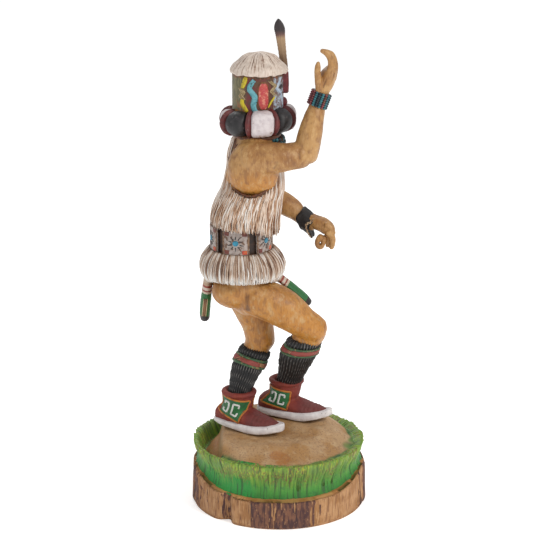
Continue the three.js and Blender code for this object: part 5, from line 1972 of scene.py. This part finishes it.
@dataclass
class Ground:
    """The base: a log slice with bark, a ring of carved turf, and the sand mound inside it."""

    slab_radius: float = 63.5
    slab_height: float = 30.0
    ledge_drop: float = 9.5
    turf_radius: float = 59.5
    turf_top: float = 45.5
    turf_wall: float = 5.5
    turf_foot: float = 60.0
    turf_crest: float = 59.7
    sand_reach: float = 54.6
    sand_foot: float = 24.0
    rim: float = 43.5
    notch_at: float = 4.05
    notch_deep: float = 7.0
    knot_at: float = 3.62

    def ledge(self, angle: float) -> float:
        """The ledge's height, lower on the camera's side."""
        return self.slab_height - self.ledge_drop * smooth(cos(angle - NEAR), 0.15, 0.85)

    def height(self, forward: float, left: float) -> float:
        """The mound's height: a level for each foot, falling to the turf, with a trench behind."""
        inside = self.turf_radius - self.turf_wall
        slope = smooth(hypot(forward + 6, left - 6), 38, inside + 8)
        edge = smooth(hypot(forward, left), inside - 10, inside)
        across = left * cos(0.5) + forward * sin(0.5)
        level = blend(51.5, 55.5, smooth(across, -2, 6))
        fall = blend(level, self.rim, max(slope, edge))
        return fall - 9 * (1 - smooth(forward, -44, -39))

    def build(self) -> None:
        """Makes the slice, the turf and the mound."""
        self.slice()
        self.turf()
        self.mound()

    def slice(self) -> None:
        """Makes the log slice."""
        log = Carving("log_slice")
        ledge_mark = log.layer("ledge")
        rows = 30
        profile = [(0.0, 0.0), (30.0, 0.0), (61.2, 0.0)] + [(63.0, 1.0 + k) for k in range(rows)] + [
            (61.0, 40.0), (57.0, 40.0), (54.0, 40.0)]

        def bark(angle: float, share: float) -> float:
            """Where bark is left on the side, from 0 to 1."""
            degrees = to_degrees((angle - NEAR + pi) % TURN - pi)
            near = smooth(degrees, -24, -13) * smooth(degrees, 36, 14)
            far = 0.8 * smooth(cos(radians(3 * degrees)), 0.2, -0.6) * smooth(abs(degrees), 50, 80)
            broad = round_noise(angle, 5, share * 0.8)
            streak = round_noise(angle, 17, share * 0.9)
            fine = round_noise(angle, 42, share * 1.4)
            return smooth(0.6 * broad + 0.7 * streak + 0.6 * fine + 1.1 * max(near, far) - 0.75, -0.1, 0.16)

        def shape(angle: float, radius: float, up: float) -> tuple[Vector, tuple[float, float]]:
            """A point of the slice, with how much bark is on it and whether it is on the ledge."""
            top = self.ledge(angle)
            notch = self.notch_deep * bell((angle % TURN) - self.notch_at, 0.075)
            if radius < 62:
                lumps = noise.noise(around(angle) * 4 + Vector((radius * 0.2, 0, 0)))
                level = top + 0.5 * lumps - 0.8 * (radius > 60.5) if up > 39 else up
                reach = radius - (notch * 0.8 if radius > 60.5 else 0)
                return place(reach * cos(angle), reach * sin(angle), level), (0.0, float(up > 39))
            share = (up - 1) / (rows - 1)
            patch = bark(angle, share)
            relief = patch + 0.55 * round_noise(angle, 22, share * 1.6) + 0.3 * round_noise(angle, 60, share * 3)
            relief += 1.3 * round_noise(angle, 3.2, share)
            knot = 2.2 * bell(hypot(((angle % TURN) - self.knot_at) * 62, share * 20 - 11), 3.4)
            reach = radius - 1.6 + relief - notch * (0.75 + 0.25 * (1 - share)) - knot
            reach = min(reach, self.slab_radius) - 1.2 * smooth(share, 0.93, 1.0) - 0.8 * smooth(share, 0.07,
                                                                                                 0.0)
            cut = min(1.0, notch / 4 + knot / 2)
            spot = place(reach * cos(angle), reach * sin(angle), blend(0.8, top - 0.6, share))
            return spot, (patch * (1 - cut) + 0.55 * cut, 0.0)

        log.lathe(profile, 420, shape, layers=[log.mark, ledge_mark])
        hole = [edge for edge in log.bm.edges if edge.is_boundary]
        bmesh.ops.edgeloop_fill(log.bm, edges=hole)
        log.finished(LogWood(), Slot.BASE)

    def turf(self) -> None:
        """Makes the ring of turf, its blades cut all round and its rim ragged."""
        turf = Carving("turf_ring")
        rows = 26
        cut_mark = turf.layer("cut")
        profile = [(100 + k, 0.0) for k in range(rows + 1)] + [(200 + k, 0.0)
                                                               for k in range(9)] + [(300.0, 0.0)]

        def shape(angle: float, radius: float, _up: float) -> tuple[Vector, tuple[float, float]]:
            """A point of the turf's outer wall, rim or inner slope, with its share up and its cut."""
            rise = radius % 100 / rows
            blade = round_noise(angle, 44, rise * 1.4)
            fine = round_noise(angle, 92, rise * 2.2)
            ragged = round_noise(angle, 34) + 0.6 * round_noise(angle, 71) + 0.6 * fine
            wave = round_noise(angle, 5)
            foot = self.ledge(angle) - 1.2 + 1.6 * round_noise(angle, 13)
            top = self.turf_top + 0.72 * ragged + 0.6 * wave
            if radius > 290:
                reach, level, value = 50.0, foot - 1.5, 0.2
            elif radius < 190:
                share = (radius - 100) / rows
                waist = 3.4 * sin(pi * min(share * 1.25, 1.0)) * (1 - 0.5 * share)
                cut = (1.1 * blade + 0.8 * fine) * blend(0.25, 1.0, smooth(share, 0.2, 0.6))
                near = smooth(cos(angle - NEAR), 0.15, 0.85) * (1 - share)
                reach = self.turf_foot - waist - 3.4 * near + 0.5 * wave + cut + 0.7 * smooth(share, 0.75,
                                                                                              1.0)
                reach += 0.8 * round_noise(angle, 9, share * 2)
                level, value = blend(foot, top, share), share
            else:
                share = (radius - 200 + 1) / 9
                reach = self.turf_crest - 8.5 * share + 0.5 * ragged * (1 - share)
                inner = self.height(reach * cos(angle), reach * sin(angle)) - 0.6
                level = blend(top, inner, smooth(share, 0.1, 0.9)) + 0.9 * blade * sin(pi * share)
                value = blend(0.95, 0.4, share)
            return place(reach * cos(angle), reach * sin(angle), level), (value, blade + 0.8 * fine)

        turf.lathe(profile, 760, shape, layers=[turf.mark, cut_mark])
        bottom = [edge for edge in turf.bm.edges if edge.is_boundary]
        bmesh.ops.bridge_loops(turf.bm, edges=bottom)
        turf.finished(Grass(), Slot.BASE)

    def mound(self) -> None:
        """Makes the sand."""
        sand = Carving("sand_mound")
        dip_mark, edge_mark = sand.layer("dip"), sand.layer("edge")
        rows = 60

        def dip(forward: float, left: float) -> float:
            """The shallow hollow near the camera's edge, from 0 to 1."""
            away = hypot((forward - 0.5) / 8.5, (left + 44) / 6.0)
            return smooth(away + 0.5 * noise.noise(Vector((forward, left, 0)) / 6), 1.4, 0.5)

        def shape(angle: float, radius: float, _up: float) -> Vector:
            """A point of the ground."""
            forward, left = radius * cos(angle), radius * sin(angle)
            spot = Vector((forward, left, 0.0))
            lumps = sum(high * noise.noise(spot / size) for high, size in ((0.8, 14), (0.5, 5), (0.25, 1.9)))
            calm = 1 - 0.6 * smooth(radius, 30, 10)
            level = self.height(forward, left) + lumps * calm - dip(forward, left) - 0.25
            return place(forward, left, level)

        profile = [(self.sand_reach * k / rows, 0.0) for k in range(rows + 1)]
        sand.lathe(profile, 220, shape)
        for vertex in sand.bm.verts:
            left, forward = vertex.co.x / MM, -vertex.co.y / MM
            trench = smooth(forward, -38, -44)
            vertex[dip_mark] = max(dip(forward, left), 0.75 * trench)
            vertex[edge_mark] = smooth(hypot(forward, left) + 4 * noise.noise(vertex.co * 120), 47, 54)
        rim = [edge for edge in sand.bm.edges if edge.is_boundary]
        grown = bmesh.ops.extrude_edge_only(sand.bm, edges=rim)["geom"]
        lowered = [item for item in grown if isinstance(item, bmesh.types.BMVert)]
        for vertex in lowered:
            vertex.co.z = self.sand_foot * MM
        floor = [edge for edge in sand.bm.edges if edge.is_boundary]
        bmesh.ops.edgeloop_fill(sand.bm, edges=floor)
        sand.finished(Sand(), Slot.BASE)


@dataclass
class Studio:
    """The camera at the photograph's angle, the pale floor and the soft light."""

    stand: Row = (-1.2, 0.0026, 0.507)
    pitch: float = 15.86
    lens: float = 116.55
    ambient: float = 0.66
    glow: float = 0.42
    lamps: tuple[tuple[str, Row, float, float, Colour], ...] = (
        ("key", (-0.9, -0.9, 1.1), 0.4, 11.0, (1.0, 0.98, 0.95)),
        ("fill", (-0.7, 0.9, 0.7), 0.8, 1.0, (0.96, 0.98, 1.0)),
        ("back", (0.9, 0.2, 0.9), 0.6, 2.5, (1.0, 1.0, 1.0)),
    )

    def camera(self) -> None:
        """Sets up the camera."""
        data = bpy.data.cameras.new("camera")
        data.lens = self.lens
        data.sensor_width = 36.0
        data.sensor_fit = "HORIZONTAL"
        data.clip_start = 0.05
        data.clip_end = 20.0
        camera = bpy.data.objects.new("camera", data)
        camera.location = self.stand
        camera.rotation_euler = (pi / 2 - radians(self.pitch), 0.0, -pi / 2)
        bpy.context.scene.collection.objects.link(camera)
        bpy.context.scene.camera = camera

    def light(self, name: str, spot: Row, size: float, watts: float, tone: Colour) -> None:
        """Adds one soft lamp that looks at the doll."""
        data = bpy.data.lights.new(name, "AREA")
        data.shape = "DISK"
        data.size = size
        data.energy = watts
        data.color = tone
        lamp = bpy.data.objects.new(name, data)
        lamp.location = spot
        aim = Vector((0, 0, 0.17)) - Vector(spot)
        lamp.rotation_euler = aim.to_track_quat("-Z", "Y").to_euler()
        bpy.context.scene.collection.objects.link(lamp)

    def build(self) -> None:
        """Makes the floor, the world and the lamps."""
        bm = bmesh.new()
        bmesh.ops.create_circle(bm, cap_ends=True, segments=96, radius=3.0)
        mesh = bpy.data.meshes.new("floor")
        bm.to_mesh(mesh)
        bm.free()
        m = Mixer("floor_white", 0.8)
        m.shader.inputs["Emission Color"].default_value = (1.0, 1.0, 1.0, 1.0)
        m.shader.inputs["Emission Strength"].default_value = self.glow
        mesh.materials.append(m.done(m.mix(m.noise(60.0), (0.93, 0.93, 0.93, 1), (0.95, 0.95, 0.95, 1))))
        floor = bpy.data.objects.new("floor", mesh)
        bpy.context.scene.collection.objects.link(floor)
        floor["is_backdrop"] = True
        world = bpy.data.worlds.new("studio")
        world.use_nodes = True
        tree = world.node_tree
        seen = tree.nodes.new("ShaderNodeLightPath").outputs["Is Camera Ray"]
        strength = Flow(tree, seen) * (1.0 - self.ambient) + self.ambient
        sky = tree.nodes["Background"]
        sky.inputs["Color"].default_value = (1.0, 1.0, 1.0, 1.0)
        feed(tree, sky.inputs["Strength"], strength)
        bpy.context.scene.world = world
        bpy.context.scene.view_settings.view_transform = "Standard"
        for lamp in self.lamps:
            self.light(*lamp)


def corners() -> list[list[float]]:
    """The shown object's lowest and highest corner."""
    return [list(corner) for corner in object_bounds()]


def main() -> None:
    """Loads the frame, sets up the camera and studio, and builds every sub-assembly in turn."""
    logging.basicConfig(level=logging.INFO, format="%(message)s")
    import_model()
    studio = Studio()
    studio.camera()
    studio.build()
    right_shin = ((22.6, -11, 130, 9.4, 9.6), (18, -7, 119.5, 10.4, 9.6), (13.4, -1, 107, 12, 10.6),
                  (9.8, 9.5, 92, 9.4, 9.2), (6.8, 16.4, 79, 7.8, 8), (6.6, 17, 74, 7.6, 7.8))
    left_shin = ((-13.8, 13, 114, 9.4, 10), (-18, 11.6, 104, 9.6, 9.8), (-23, 9, 94, 10, 10),
                 (-27, 5.6, 82, 7.8, 8), (-28, 4.4, 74, 7.6, 7.8), (-28.2, 4.2, 70, 7.4, 7.6))
    right_panel = ((4.6, 11.2), (26.2, 7.8), (11, 24.2), (28.6, 21.3))
    left_panel = ((5, 14), (25, 6.8), (10, 26.4), (30, 22.4))
    parts = (
        Skin(), Shirt(), HipFringe(), Belt(), Head(), Ruff(), Beadwork(), BowGuard(), Sash(),
        Leg("right", right_shin, 122.0, 78.5, (111.0, 116.8), 0.8),
        Leg("left", left_shin, 108.4, 73.0, (96.8, 102.6), 0.3),
        Moccasin("right_moccasin", (-14, 26), -24, 55.5, 21.5, right_panel, (1.5, 4.5)),
        Moccasin("left_moccasin", (-44, 14.5), -34, 51.5, 19.0, left_panel, (3.4, 4.0)),
        Plume(), Ground(),
    )
    for part in parts:
        LOG.info("building %s", type(part).__name__)
        part.build()
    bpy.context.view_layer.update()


if __name__ == "__main__":
    main()
